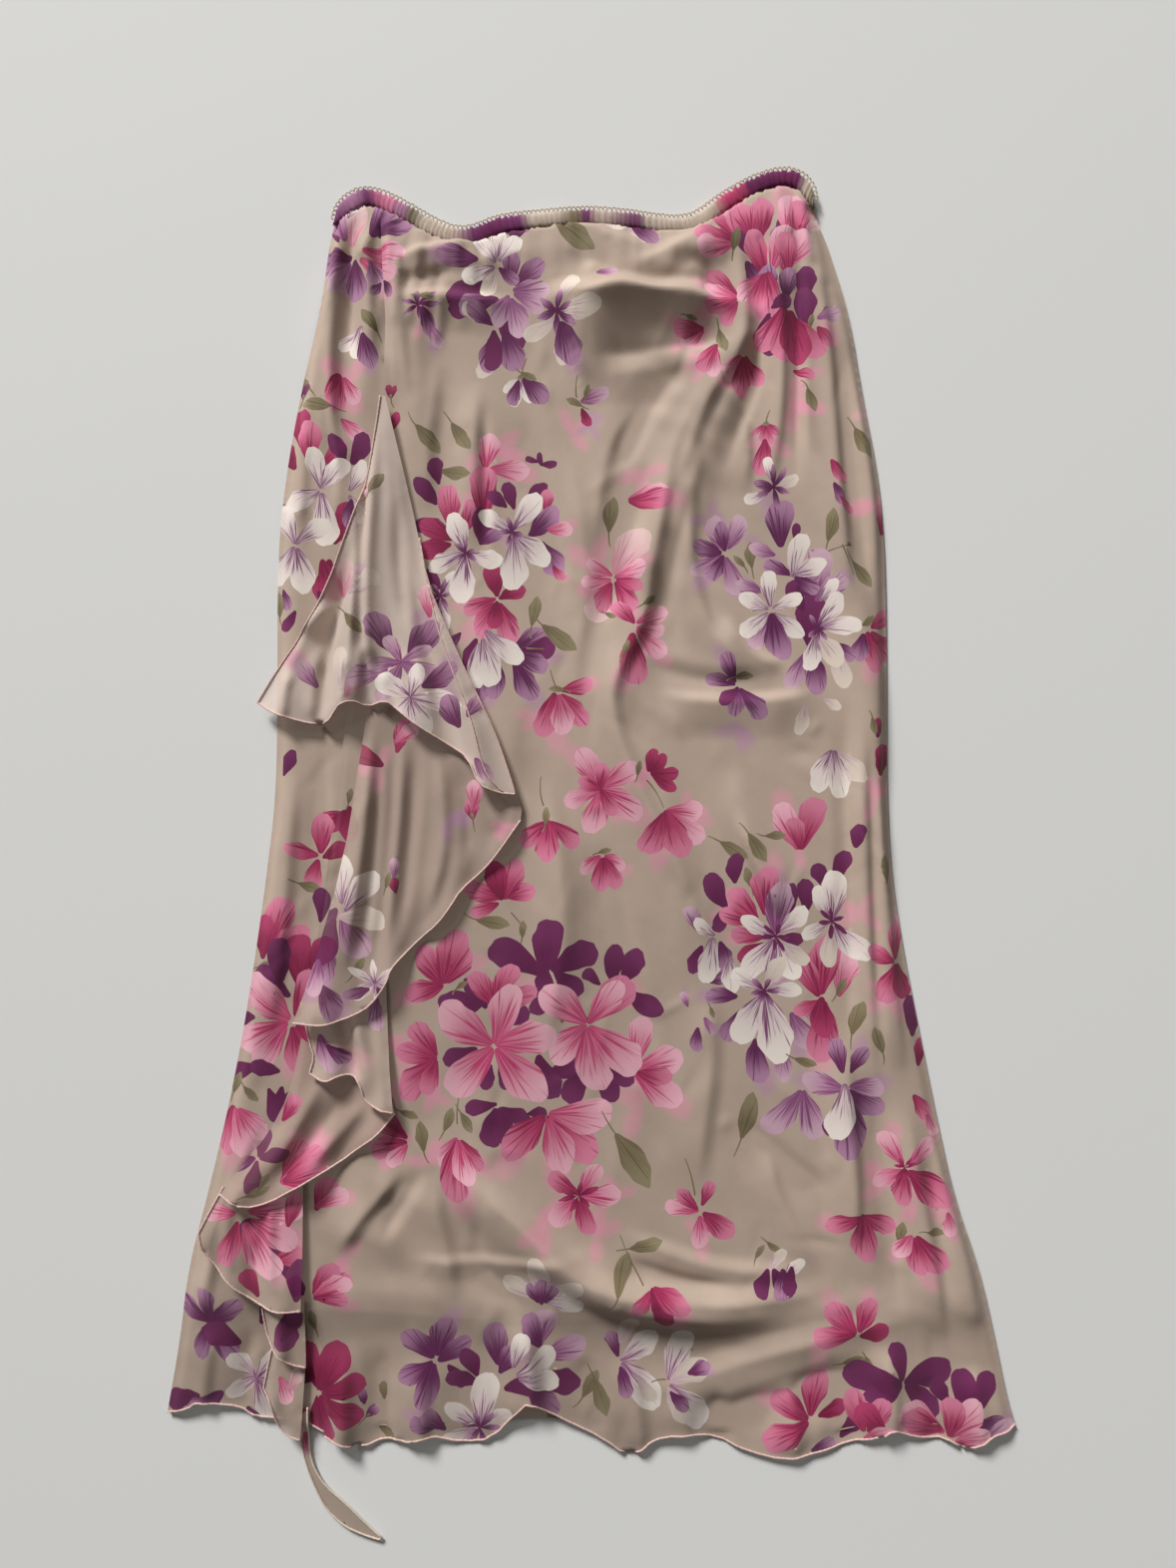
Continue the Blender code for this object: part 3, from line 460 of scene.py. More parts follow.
# What the front is printed with, in the columns that drawPrint reads
frontPrint = (
    # left corner and side
    (340, 245, 11, 100, "purple"), (372, 238, 20, 60, "violet"), (378, 236, 19, 20, "violet"),
    (352, 255, 16, 215, "violet"), (352, 258, 17, 180, "violet"), (350, 262, 18, -120, "lilac"),
    (355, 260, 21, -85, "violet"), (365, 255, 21, 0, "pink"), (362, 262, 20, -35, "pink"),
    (352, 246, 22, 80, "blush"), (346, 242, 20, 110, "lilac"), (348, 218, 12, 60, "white"),
    (372, 264, 15, -70, "lilac"), (386, 284, 9, -60, "violet"), (382, 283, 8, -120, "violet"),
    (372, 322, 15, 120, "leaf"), (362, 330, 15, 220, "white"), (363, 328, 16, -105, "white"),
    (364, 335, 18, -80, "violet"), (348, 385, 18, 0, "pink", "halo"), (340, 375, 19, -100, "rose"),
    (344, 378, 15, -60, "pink"), (342, 420, 14, -40, "pink"), (318, 405, 18, 165, "leaf"),
    (304, 382, 13, 130, "leaf"), (302, 398, 9, 80, "purple", "bud"), (303, 450, 20, 95, "magenta"),
    (296, 470, 18, 120, "magenta"), (310, 465, 21, 85, "rose"), (324, 466, 16, 45, "rose"),
    (352, 465, 17, 60, "purple"), (346, 465, 16, 110, "purple"), (334, 545, 22, 60, "magenta"),
    (330, 560, 22, -100, "magenta"), (322, 560, 22, -75, "magenta"), (276, 520, 15, 100, "purple"),
    (290, 530, 18, 120, "violet"), (322, 490, 21, 100, "white"), (322, 490, 19, 55, "white"),
    (320, 492, 19, 205, "white"), (322, 494, 26, -82, "white"), (350, 492, 17, 60, "white"),
    (350, 496, 15, -60, "white"), (352, 500, 15, -100, "violet"), (296, 545, 21, 110, "white"),
    (296, 545, 20, 40, "white"), (295, 548, 21, 235, "white"), (297, 549, 23, -75, "white"),
    (282, 590, 11, -70, "violet"), (318, 592, 9, -60, "violet"), (278, 605, 14, 90, "leaf"),
    (296, 612, 12, -120, "purple"), (392, 400, 8, 90, "magenta", "bud"), (392, 432, 10, 70, "magenta"),
    (283, 778, 14, 70, "purple"), (345, 815, 16, 200, "rose"), (346, 812, 14, 235, "magenta"),
    (350, 808, 18, -95, "magenta"), (350, 798, 9, 80, "leaf"), (320, 856, 20, 85, "rose"),
    (318, 858, 17, 170, "rose"), (322, 860, 14, 20, "magenta"), (318, 862, 15, -110, "rose"),
    (310, 890, 14, -20, "leaf"), (320, 925, 17, 80, "purple"), (270, 950, 26, 75, "rose"),
    (275, 955, 20, 45, "rose"), (262, 962, 22, 85, "magenta"), (280, 960, 16, 70, "rose"),
    (264, 968, 9, 20, "leaf"), (290, 1000, 22, 140, "purple"), (300, 990, 26, 95, "magenta"),
    (312, 985, 24, 70, "magenta"), (282, 985, 22, 100, "purple"), (255, 1020, 15, 190, "purple"),
    (258, 1068, 18, 200, "purple"), (322, 1040, 22, -20, "purple"), (290, 1023, 30, 140, "pink"),
    (288, 1026, 28, 205, "pink"), (286, 1028, 26, 230, "pink"), (295, 1020, 24, 60, "rose"),
    (296, 1028, 26, -40, "rose"), (292, 1030, 22, -75, "rose"), (268, 1092, 17, -70, "purple"),
    (282, 1090, 16, -100, "purple"), (280, 1075, 15, 170, "purple"), (290, 1095, 18, -110, "purple"),
    (235, 1087, 13, 70, "leaf"), (250, 1098, 12, -50, "leaf"), (232, 1110, 24, -100, "rose"),
    (234, 1112, 24, -70, "pink"), (238, 1112, 20, -45, "pink"), (248, 1145, 18, 0, "pink", "halo"),
    (210, 1326, 24, 20, "violet", "blossom"), (240, 1350, 20, 150, "purple"),
    (260, 1330, 20, 60, "purple"), (200, 1400, 18, 190, "purple"), (245, 1415, 20, -60, "violet"),
    (222, 1398, 20, 220, "violet"), (255, 1385, 23, 60, "white", "blossom"),
    (290, 1320, 20, 80, "purple"), (325, 1290, 14, 20, "rose"), (285, 1390, 22, 20, "purple"),
    # top middle
    (478, 238, 18, 155, "violet"), (505, 232, 14, 20, "violet"), (512, 240, 17, 60, "violet"),
    (492, 285, 23, 195, "purple"), (490, 292, 22, 215, "purple"), (500, 300, 20, 190, "violet"),
    (480, 262, 21, 178, "violet"), (492, 345, 17, -100, "cream"), (492, 320, 15, 165, "cream"),
    (508, 300, 25, -80, "purple"), (495, 325, 16, 150, "violet"), (497, 335, 19, -112, "violet"),
    (505, 330, 21, -75, "violet"), (495, 330, 20, -88, "purple"), (512, 298, 20, -68, "lilac"),
    (510, 295, 17, -120, "lilac"), (515, 285, 19, 40, "violet"), (512, 285, 18, 85, "violet"),
    (514, 290, 18, 10, "lilac"), (515, 293, 17, -25, "lilac"), (497, 264, 18, 125, "white"),
    (497, 262, 17, 85, "white"), (500, 262, 16, 55, "white"), (496, 268, 17, 205, "white"),
    (498, 270, 15, 245, "cream"), (500, 268, 12, -40, "violet"), (558, 318, 19, 215, "cream"),
    (562, 305, 16, 65, "cream"), (560, 314, 21, -5, "cream"), (562, 318, 23, -78, "cream"),
    (558, 312, 12, 20, "violet", "star"), (562, 322, 23, -75, "violet"),
    (428, 322, 13, 0, "pink", "halo"), (420, 308, 11, 100, "violet", "star"),
    (424, 310, 14, -65, "violet"), (432, 326, 12, -70, "lilac"), (428, 300, 9, 0, "leaf"),
    (576, 236, 28, -38, "leaf"), (548, 222, 14, 10, "leaf"), (602, 222, 13, -5, "cream"),
    (628, 228, 17, -25, "cream"), (632, 222, 17, -32, "violet"), (598, 277, 11, 5, "lilac"),
    # top right
    (760, 262, 20, 115, "purple"), (775, 262, 20, 80, "violet"), (792, 262, 22, 100, "purple"),
    (738, 240, 21, 125, "rose"), (735, 243, 20, 165, "rose"), (736, 246, 19, 190, "pink"),
    (738, 238, 21, 95, "pink"), (762, 240, 21, 85, "rose"), (752, 238, 18, 105, "rose"),
    (788, 245, 25, 82, "pink"), (796, 245, 22, 75, "rose"), (808, 230, 10, 40, "blush"),
    (737, 240, 14, 80, "moss", "leaf"), (748, 262, 18, -60, "violet"), (772, 276, 25, 72, "pink"),
    (782, 272, 24, 55, "pink"), (790, 275, 20, 90, "rose"), (766, 274, 22, 110, "rose"),
    (806, 305, 18, 88, "purple"), (806, 330, 20, 86, "purple"), (786, 302, 16, 85, "violet"),
    (774, 300, 16, 110, "violet"), (765, 275, 19, -130, "pink"), (768, 275, 22, -85, "rose"),
    (766, 275, 19, -108, "rose"), (738, 302, 17, 205, "rose"), (738, 305, 14, 235, "rose"),
    (738, 298, 19, 140, "rose"), (738, 300, 17, 168, "pink"), (688, 336, 14, 0, "pink", "halo"),
    (705, 334, 13, 215, "pink"), (705, 332, 15, 185, "rose"), (692, 324, 7, -20, "leaf"),
    (706, 368, 12, 0, "pink", "halo"), (716, 350, 16, -95, "pink"), (718, 348, 16, -125, "rose"),
    (722, 345, 14, -80, "leaf"), (742, 385, 14, 0, "pink", "halo"), (742, 360, 14, -125, "pink"),
    (745, 360, 19, -95, "rose"), (747, 358, 16, -60, "rose"), (770, 316, 17, -105, "purple"),
    (772, 312, 12, 30, "purple"), (768, 330, 14, -80, "purple"), (784, 312, 22, -112, "rose"),
    (796, 318, 24, -66, "rose"), (788, 312, 26, -95, "rose"), (792, 312, 27, -80, "magenta"),
    (795, 372, 11, -10, "rose"), (794, 405, 18, 0, "pink", "halo"), (838, 344, 14, 0, "pink", "halo"),
    (818, 322, 14, 25, "lilac"), (818, 330, 12, -45, "rose"), (812, 324, 8, 80, "leaf"),
    (812, 402, 14, -75, "leaf"), (865, 444, 19, -65, "leaf"), (772, 440, 15, 0, "pink", "halo"),
    (768, 424, 12, -95, "rose", "side"), (767, 440, 18, -92, "rose"), (874, 415, 12, 0, "blush", "halo"),
    (832, 462, 13, -60, "rose"), (834, 486, 12, -60, "violet"), (840, 500, 10, -50, "rose"),
    (878, 508, 14, 0, "pink", "halo"), (886, 535, 16, 88, "rose"), (833, 528, 18, 75, "leaf"),
    # single flowers, upper half
    (523, 376, 17, -92, "white", "side"), (524, 378, 17, -50, "violet"), (520, 380, 13, -110, "violet"),
    (530, 376, 10, -25, "leaf"), (572, 432, 14, 0, "pink", "halo"), (592, 425, 10, 0, "lilac", "halo"),
    (582, 402, 15, 18, "lilac"), (583, 408, 10, -70, "magenta"), (576, 402, 10, 150, "leaf"),
    (588, 392, 8, 80, "leaf"), (578, 398, 12, 100, "stem"), (543, 466, 7, 110, "purple"),
    (540, 462, 7, 160, "purple"), (542, 464, 8, -10, "purple"), (430, 440, 20, -45, "leaf"),
    (461, 438, 19, -60, "leaf"), (456, 474, 18, -10, "leaf"), (611, 515, 20, 88, "leaf"),
    (644, 472, 15, 0, "pink", "halo"), (630, 500, 21, 8, "pink"), (630, 501, 22, -4, "rose"),
    (594, 570, 20, 0, "pink", "halo"), (616, 575, 26, 62, "blush"), (612, 582, 22, -112, "blush"),
    (616, 578, 16, 12, "pink"), (614, 576, 14, 160, "pink"), (613, 580, 15, 195, "pink"),
    (613, 583, 16, -118, "rose"), (617, 582, 18, -58, "rose"), (618, 580, 14, -18, "rose"),
    (650, 655, 16, 0, "pink", "halo"), (638, 626, 17, 32, "pink"), (638, 632, 19, -42, "pink"),
    (638, 630, 14, -8, "pink"), (636, 626, 15, 128, "rose"), (634, 635, 25, -93, "rose"),
    (628, 650, 9, 60, "leaf"), (651, 603, 9, 30, "leaf"), (612, 616, 7, -20, "leaf"),
    (712, 520, 12, 0, "lilac", "halo"), (728, 552, 18, 122, "lilac"), (730, 550, 18, 62, "lilac"),
    (724, 556, 18, 218, "lilac"), (728, 558, 20, -75, "lilac"), (727, 552, 15, 100, "violet"),
    (724, 554, 15, 165, "violet"), (726, 556, 14, -120, "violet"), (752, 556, 15, 100, "leaf"),
    (742, 562, 9, 130, "leaf"), (742, 728, 15, 0, "lilac", "halo"), (738, 686, 15, 160, "violet"),
    (738, 684, 16, 118, "violet"), (740, 688, 15, -100, "violet"), (742, 690, 19, -48, "violet"),
    (740, 690, 12, 220, "purple"), (746, 677, 11, 10, "leaf"), (538, 716, 12, 0, "pink", "halo"),
    (562, 692, 16, 8, "rose"), (556, 694, 23, -105, "rose"), (562, 696, 20, -55, "rose"),
    (560, 696, 20, -78, "pink"), (558, 690, 9, 170, "leaf"), (558, 690, 11, 115, "stem"),
    (640, 770, 12, 0, "pink", "halo"), (602, 790, 22, 118, "pink"), (602, 790, 22, 30, "pink"),
    (602, 792, 24, -28, "pink"), (602, 792, 22, -98, "pink"), (602, 792, 19, 195, "pink"),
    (602, 791, 13, 80, "rose"), (602, 791, 15, -60, "rose"), (602, 791, 12, 160, "rose"),
    (650, 774, 12, 80, "magenta"), (652, 775, 12, 45, "magenta"), (652, 776, 14, -5, "magenta"),
    (654, 777, 14, -35, "magenta"), (640, 770, 9, 80, "leaf"), (648, 782, 18, -45, "stem"),
    (690, 812, 12, 0, "pink", "halo"), (668, 812, 18, -10, "pink"), (668, 815, 23, -42, "pink"),
    (666, 815, 22, -112, "rose"), (667, 812, 25, -72, "rose"), (545, 808, 16, 112, "stem"),
    (548, 824, 17, -145, "rose"), (552, 824, 18, -38, "rose"), (550, 822, 21, -90, "rose"),
    (548, 818, 10, 80, "leaf"), (618, 880, 12, 0, "pink", "halo"), (606, 858, 12, -25, "pink"),
    (605, 860, 17, -60, "rose"), (604, 860, 17, -100, "rose"), (602, 858, 13, 215, "pink"),
    (606, 853, 8, 20, "leaf"), (808, 705, 16, -100, "cream"), (826, 700, 10, -30, "cream"),
    (838, 752, 21, -50, "cream"), (835, 752, 22, -118, "white"), (837, 752, 24, -82, "white"),
    (800, 850, 14, 0, "pink", "halo"), (803, 852, 27, 75, "rose"), (801, 852, 25, 114, "pink"),
    (802, 852, 16, 94, "rose"), (736, 852, 18, -30, "leaf"), (758, 850, 19, -60, "leaf"),
    (778, 838, 12, 0, "leaf"), (857, 850, 12, 80, "purple"), (882, 778, 16, 84, "magenta"),
    (876, 800, 14, 0, "pink", "halo"), (822, 556, 18, 20, "stem"), (842, 548, 18, -65, "stem"),
    (864, 576, 18, -50, "leaf"), (870, 624, 10, 30, "leaf"), (872, 630, 15, 30, "rose"),
    (868, 634, 21, -75, "rose"), (872, 634, 20, -40, "rose"), (864, 636, 14, -100, "violet"),
    (878, 740, 10, 85, "magenta"), (874, 728, 10, -80, "leaf"),
    # second group, left of the middle
    (438, 505, 17, 130, "purple"), (440, 485, 13, 108, "purple"), (440, 520, 14, 200, "purple"),
    (455, 540, 19, 155, "magenta"), (452, 545, 18, 190, "magenta"), (452, 528, 21, 95, "rose"),
    (464, 535, 17, 65, "rose"), (494, 452, 18, 0, "pink", "halo"), (486, 470, 18, 80, "pink"),
    (490, 470, 20, -5, "pink"), (484, 522, 27, 88, "rose"), (482, 545, 18, 85, "purple"),
    (515, 510, 14, 105, "purple"), (528, 507, 15, 58, "purple"), (508, 508, 12, 140, "purple"),
    (546, 514, 12, 75, "rose"), (530, 537, 20, 40, "violet"), (548, 530, 13, 0, "pink"),
    (542, 542, 19, -60, "violet"), (554, 566, 9, -60, "rose"), (480, 545, 14, 30, "violet"),
    (498, 598, 17, 95, "magenta"), (497, 600, 17, 195, "rose"), (500, 600, 14, 30, "magenta"),
    (497, 604, 19, -125, "rose"), (500, 604, 21, -65, "rose"), (498, 602, 14, -95, "magenta"),
    (441, 590, 12, 130, "purple"), (441, 597, 15, 60, "white"), (440, 600, 17, -80, "white"),
    (441, 597, 8, 0, "violet", "star"), (512, 532, 18, 150, "white"), (514, 538, 26, -84, "white"),
    (516, 536, 22, -35, "white"), (514, 530, 22, 50, "white"), (464, 554, 19, 200, "white"),
    (468, 555, 18, -15, "white"), (466, 556, 24, -94, "white"), (466, 552, 20, 110, "white"),
    (466, 554, 7, 30, "violet", "star"), (513, 533, 8, 0, "violet", "star"),
    (462, 634, 10, 230, "violet"), (478, 640, 17, -115, "purple"), (515, 662, 22, -65, "violet"),
    (486, 660, 22, -100, "violet"), (500, 665, 18, -92, "violet"), (515, 652, 18, 40, "violet"),
    (517, 656, 20, 10, "purple"), (515, 656, 18, -20, "violet"), (480, 645, 22, -98, "white"),
    (484, 640, 24, -72, "white"), (486, 632, 24, -44, "white"), (536, 612, 17, 78, "leaf"),
    (560, 640, 24, -40, "leaf"), (545, 650, 10, 180, "stem"),
    # right group
    (784, 548, 23, 97, "violet"), (797, 542, 9, 75, "purple"), (778, 556, 14, 160, "lilac"),
    (815, 602, 26, 80, "lilac"), (812, 648, 27, 88, "purple"), (806, 612, 16, 120, "purple"),
    (818, 602, 18, 42, "lilac"), (800, 600, 16, 60, "violet"), (765, 592, 14, 165, "lilac"),
    (772, 618, 18, 235, "lilac"), (808, 655, 19, -112, "lilac"), (838, 645, 12, -40, "violet"),
    (840, 650, 20, -85, "cream"), (818, 656, 20, -84, "violet"), (770, 495, 12, 195, "white"),
    (774, 482, 12, 100, "white"), (778, 488, 12, 20, "cream"), (776, 488, 12, 40, "violet", "star"),
    (822, 602, 13, 45, "white"), (795, 576, 15, 155, "violet"), (795, 578, 22, 82, "white"),
    (796, 576, 17, 22, "white"), (797, 578, 14, -30, "violet"), (820, 634, 20, -52, "cream"),
    (822, 628, 20, 5, "white"), (822, 626, 18, 50, "white"), (818, 636, 18, -95, "white"),
    (821, 630, 8, 20, "violet", "star"), (773, 608, 18, 95, "white"), (771, 610, 16, 160, "white"),
    (771, 614, 18, 222, "white"), (776, 614, 19, -42, "white"), (775, 610, 16, 25, "white"),
    (774, 614, 24, -82, "violet"),
    # rose flower over the big group
    (476, 863, 17, -12, "leaf"), (494, 926, 19, -12, "leaf"), (524, 932, 10, 85, "leaf"),
    (512, 915, 12, -50, "stem"), (505, 900, 16, 20, "rose"), (504, 900, 20, 172, "rose"),
    (505, 902, 21, 66, "rose"), (503, 903, 20, 105, "magenta"), (500, 906, 15, 200, "rose"),
    # big group
    (545, 978, 28, 83, "purple"), (545, 978, 30, 144, "purple"), (552, 972, 25, 26, "purple"),
    (556, 972, 18, -50, "purple"), (545, 965, 18, -85, "purple"), (615, 988, 20, 93, "purple"),
    (622, 986, 19, 50, "purple"), (628, 994, 21, -40, "purple"), (602, 988, 11, 138, "purple"),
    (488, 1003, 24, 195, "purple"), (487, 1012, 18, 112, "purple"), (500, 1030, 17, 32, "purple"),
    (478, 1052, 18, 205, "purple"), (548, 1078, 22, 15, "purple"), (540, 1058, 23, -78, "purple"),
    (590, 1072, 20, 232, "purple"), (608, 1066, 20, -88, "purple"), (606, 1064, 18, -50, "purple"),
    (476, 1080, 13, 235, "purple"), (492, 1068, 13, -100, "purple"), (500, 1068, 13, -62, "purple"),
    (560, 1000, 16, 200, "purple"), (443, 987, 22, 127, "rose"), (444, 988, 20, 200, "rose"),
    (447, 986, 20, 48, "rose"), (444, 987, 28, 77, "rose"), (494, 1008, 19, 122, "rose"),
    (496, 1006, 21, 70, "rose"), (500, 1006, 20, 12, "rose"), (462, 988, 8, 40, "leaf"),
    (405, 1050, 18, 0, "pink", "halo"), (432, 1098, 12, 0, "pink", "halo"), (437, 1060, 20, 122, "rose"),
    (438, 1062, 21, 168, "rose"), (438, 1064, 25, 218, "rose"), (437, 1064, 18, 250, "rose"),
    (640, 1108, 20, 0, "pink", "halo"), (636, 1070, 25, 80, "pink"), (636, 1073, 25, 18, "pink"),
    (637, 1077, 27, -38, "pink"), (638, 1076, 18, -15, "rose"), (498, 1108, 16, 187, "purple"),
    (500, 1112, 17, -26, "purple"), (497, 1112, 19, -106, "purple"), (499, 1112, 19, -72, "purple"),
    (528, 1118, 10, 10, "purple"), (450, 1124, 14, 65, "leaf"), (468, 1126, 13, -55, "leaf"),
    (458, 1128, 16, 95, "stem"), (422, 1140, 17, 100, "leaf"), (410, 1118, 11, -20, "leaf"),
    (548, 1120, 32, -40, "rose"), (546, 1120, 29, 223, "rose"), (550, 1118, 31, -7, "pink"),
    (549, 1122, 29, -72, "pink"), (588, 1028, 25, 220, "pink"), (588, 1026, 28, 142, "pink"),
    (590, 1030, 33, -38, "pink"), (588, 1032, 31, -87, "pink"), (589, 1026, 30, 44, "rose"),
    (590, 1026, 26, 50, "pink"), (496, 1048, 31, 12, "pink"), (494, 1052, 31, 222, "pink"),
    (497, 1052, 35, -51, "pink"), (493, 1048, 32, 149, "pink"), (496, 1048, 31, 75, "pink"),
    (636, 1164, 36, -54, "leaf"), (392, 1150, 14, 0, "pink", "halo"), (408, 1142, 18, 140, "rose"),
    (408, 1146, 18, 185, "rose"), (408, 1148, 14, 230, "pink"), (430, 1165, 14, 0, "pink", "halo"),
    (458, 1142, 16, -128, "pink"), (461, 1144, 18, -58, "rose"), (458, 1144, 30, -97, "rose"),
    (459, 1144, 22, -80, "pink"), (545, 1225, 18, 0, "pink", "halo"), (598, 1240, 16, 0, "pink", "halo"),
    (618, 1200, 12, 0, "pink", "halo"), (582, 1200, 20, -6, "pink"), (579, 1198, 17, 148, "rose"),
    (582, 1198, 17, 64, "pink"), (580, 1202, 19, -78, "rose"), (578, 1202, 18, 222, "pink"),
    (580, 1200, 10, 20, "magenta", "star"), (697, 1200, 22, 96, "stem"),
    (705, 1242, 14, 0, "pink", "halo"), (701, 1215, 17, 168, "pink"), (700, 1214, 14, 140, "rose"),
    (704, 1210, 13, 65, "rose"), (705, 1217, 19, -40, "rose"), (702, 1220, 16, -85, "pink"),
    # lower right group
    (729, 912, 20, 122, "purple"), (728, 908, 14, -105, "purple"), (737, 886, 15, 93, "purple"),
    (750, 880, 12, 110, "leaf"), (760, 922, 20, 135, "rose"), (756, 926, 18, 165, "rose"),
    (768, 918, 24, 96, "rose"), (766, 940, 16, 180, "rose"), (768, 946, 16, 215, "magenta"),
    (793, 918, 16, 96, "purple"), (808, 916, 17, 84, "purple"), (830, 892, 14, 112, "purple"),
    (838, 888, 18, 76, "purple"), (862, 915, 14, 0, "pink", "halo"), (702, 936, 15, 110, "lilac"),
    (704, 948, 15, 245, "purple"), (706, 985, 14, 20, "violet"), (717, 938, 13, 150, "white"),
    (715, 940, 23, -96, "white"), (722, 944, 15, -70, "violet"), (732, 960, 18, -92, "white"),
    (780, 945, 20, -95, "lilac"), (745, 1012, 18, 247, "violet"), (740, 1000, 16, 170, "violet"),
    (758, 1042, 22, -92, "violet"), (783, 1050, 18, -80, "lilac"), (793, 1016, 20, -58, "lilac"),
    (800, 1010, 16, -20, "lilac"), (690, 1010, 8, 110, "lilac"), (700, 1030, 12, -100, "violet"),
    (706, 1020, 10, -60, "lilac"), (714, 1015, 7, -70, "leaf"), (842, 1000, 23, 75, "pink"),
    (824, 998, 30, 88, "rose"), (822, 1000, 22, 117, "rose"), (822, 1004, 14, 210, "rose"),
    (826, 1004, 30, -84, "rose"), (825, 1000, 20, -96, "magenta"), (778, 936, 26, 87, "lilac"),
    (775, 938, 18, 152, "white"), (780, 936, 19, 35, "white"), (782, 940, 12, -10, "purple"),
    (776, 942, 26, 232, "white"), (780, 942, 22, -70, "white"), (782, 944, 18, -42, "cream"),
    (778, 939, 9, 10, "purple", "star"), (832, 926, 15, 200, "white"), (833, 922, 18, 113, "white"),
    (836, 922, 24, 82, "white"), (838, 928, 23, -52, "white"), (834, 930, 20, -95, "cream"),
    (835, 924, 9, 30, "purple", "star"), (764, 992, 17, 155, "white"), (768, 990, 17, 60, "cream"),
    (770, 993, 17, 4, "white"), (766, 996, 28, 241, "white"), (768, 998, 35, -78, "white"),
    (767, 994, 8, 0, "violet", "star"), (844, 990, 11, 60, "leaf"), (858, 1020, 20, 78, "leaf"),
    (808, 1066, 13, -20, "leaf"), (752, 1120, 27, 70, "leaf"), (880, 1042, 16, 110, "leaf"),
    (888, 870, 16, 95, "leaf"), (804, 1094, 27, 237, "lilac"), (806, 1094, 25, -73, "lilac"),
    (845, 1090, 20, 178, "lilac"), (848, 1092, 22, -36, "violet"), (850, 1088, 18, 0, "lilac"),
    (852, 1075, 15, 62, "violet"), (846, 1100, 30, -78, "violet"), (840, 1110, 15, -115, "purple"),
    (844, 1075, 17, 100, "violet"), (846, 1085, 28, -91, "white"), (892, 1000, 16, 0, "pink", "halo"),
    (897, 962, 18, 88, "rose"), (896, 964, 15, 160, "rose"), (897, 966, 20, -108, "rose"),
    (899, 966, 18, -80, "magenta"), (916, 1040, 20, 84, "purple"), (922, 1070, 14, 84, "magenta"),
    (890, 1190, 18, 0, "pink", "halo"), (915, 1205, 12, 0, "pink", "halo"), (905, 1168, 19, 120, "pink"),
    (909, 1167, 18, 37, "pink"), (906, 1172, 18, -100, "rose"), (904, 1172, 16, 215, "pink"),
    (909, 1172, 29, -43, "rose"), (906, 1169, 8, 60, "magenta", "star"), (862, 1218, 18, -150, "rose"),
    (866, 1218, 18, -30, "rose"), (864, 1216, 25, -88, "rose"), (904, 1237, 13, 80, "leaf"),
    (938, 1236, 11, -15, "leaf"), (915, 1240, 19, -82, "rose"), (918, 1238, 23, -58, "rose"),
    (914, 1238, 14, -118, "pink"), (916, 1098, 15, -55, "rose"), (930, 1118, 12, -70, "pink"),
    (950, 1215, 12, -80, "pink"),
    # lower edge
    (648, 1250, 19, 10, "leaf"), (623, 1275, 22, 78, "leaf"), (645, 1288, 30, 122, "stem"),
    (668, 1312, 12, 0, "pink", "halo"), (652, 1292, 13, -125, "rose"), (653, 1290, 20, -62, "magenta"),
    (655, 1290, 20, -35, "rose"), (762, 1256, 9, 60, "leaf"), (776, 1252, 10, -40, "leaf"),
    (772, 1275, 13, 60, "cream"), (786, 1280, 13, 40, "white"), (770, 1272, 14, -115, "purple"),
    (775, 1272, 16, -65, "purple"), (785, 1272, 15, -90, "violet"), (794, 1270, 14, -100, "purple"),
    (858, 1366, 14, 20, "leaf"), (872, 1368, 8, -60, "leaf"), (858, 1338, 21, 188, "rose"),
    (858, 1338, 20, 127, "rose"), (861, 1336, 18, 65, "rose"), (862, 1340, 15, 5, "magenta"),
    (905, 1388, 29, 170, "purple"), (905, 1386, 19, 92, "purple"), (905, 1390, 20, 205, "purple"),
    (907, 1388, 25, 12, "purple"), (908, 1390, 24, -40, "purple"), (895, 1398, 17, 140, "purple"),
    (970, 1418, 21, 100, "purple"), (974, 1418, 22, 55, "purple"), (975, 1425, 22, -18, "violet"),
    (955, 1412, 15, 130, "purple"), (845, 1448, 17, 50, "purple"), (815, 1460, 13, 20, "violet"),
    (822, 1425, 16, 20, "magenta"), (812, 1428, 22, 144, "rose"), (812, 1430, 25, 208, "rose"),
    (814, 1425, 24, 84, "rose"), (868, 1440, 22, 110, "rose"), (872, 1440, 20, 70, "rose"),
    (890, 1440, 19, 140, "magenta"), (868, 1448, 16, 30, "pink"), (950, 1442, 27, 150, "pink"),
    (948, 1440, 23, 165, "rose"), (955, 1446, 24, 50, "pink"), (955, 1446, 20, 80, "rose"),
    (985, 1448, 19, 25, "lilac"), (960, 1452, 18, 20, "pink"), (434, 1365, 20, 130, "violet"),
    (437, 1363, 21, 78, "violet"), (433, 1368, 19, 216, "violet"), (438, 1368, 20, 30, "violet"),
    (434, 1370, 22, -98, "violet"), (448, 1372, 14, -50, "purple"), (500, 1372, 22, 100, "violet"),
    (478, 1385, 16, 110, "purple"), (480, 1392, 17, 160, "purple"), (540, 1352, 20, 78, "lilac"),
    (542, 1352, 18, 118, "violet"), (545, 1362, 22, 15, "lilac"), (538, 1385, 22, -10, "purple"),
    (530, 1392, 20, -40, "violet"), (505, 1395, 18, 20, "purple"), (500, 1380, 18, 60, "violet"),
    (514, 1372, 18, 78, "white"), (518, 1380, 22, 26, "white"), (520, 1382, 20, -3, "white"),
    (445, 1432, 17, 172, "violet"), (446, 1438, 15, 140, "violet"), (478, 1436, 20, 143, "white"),
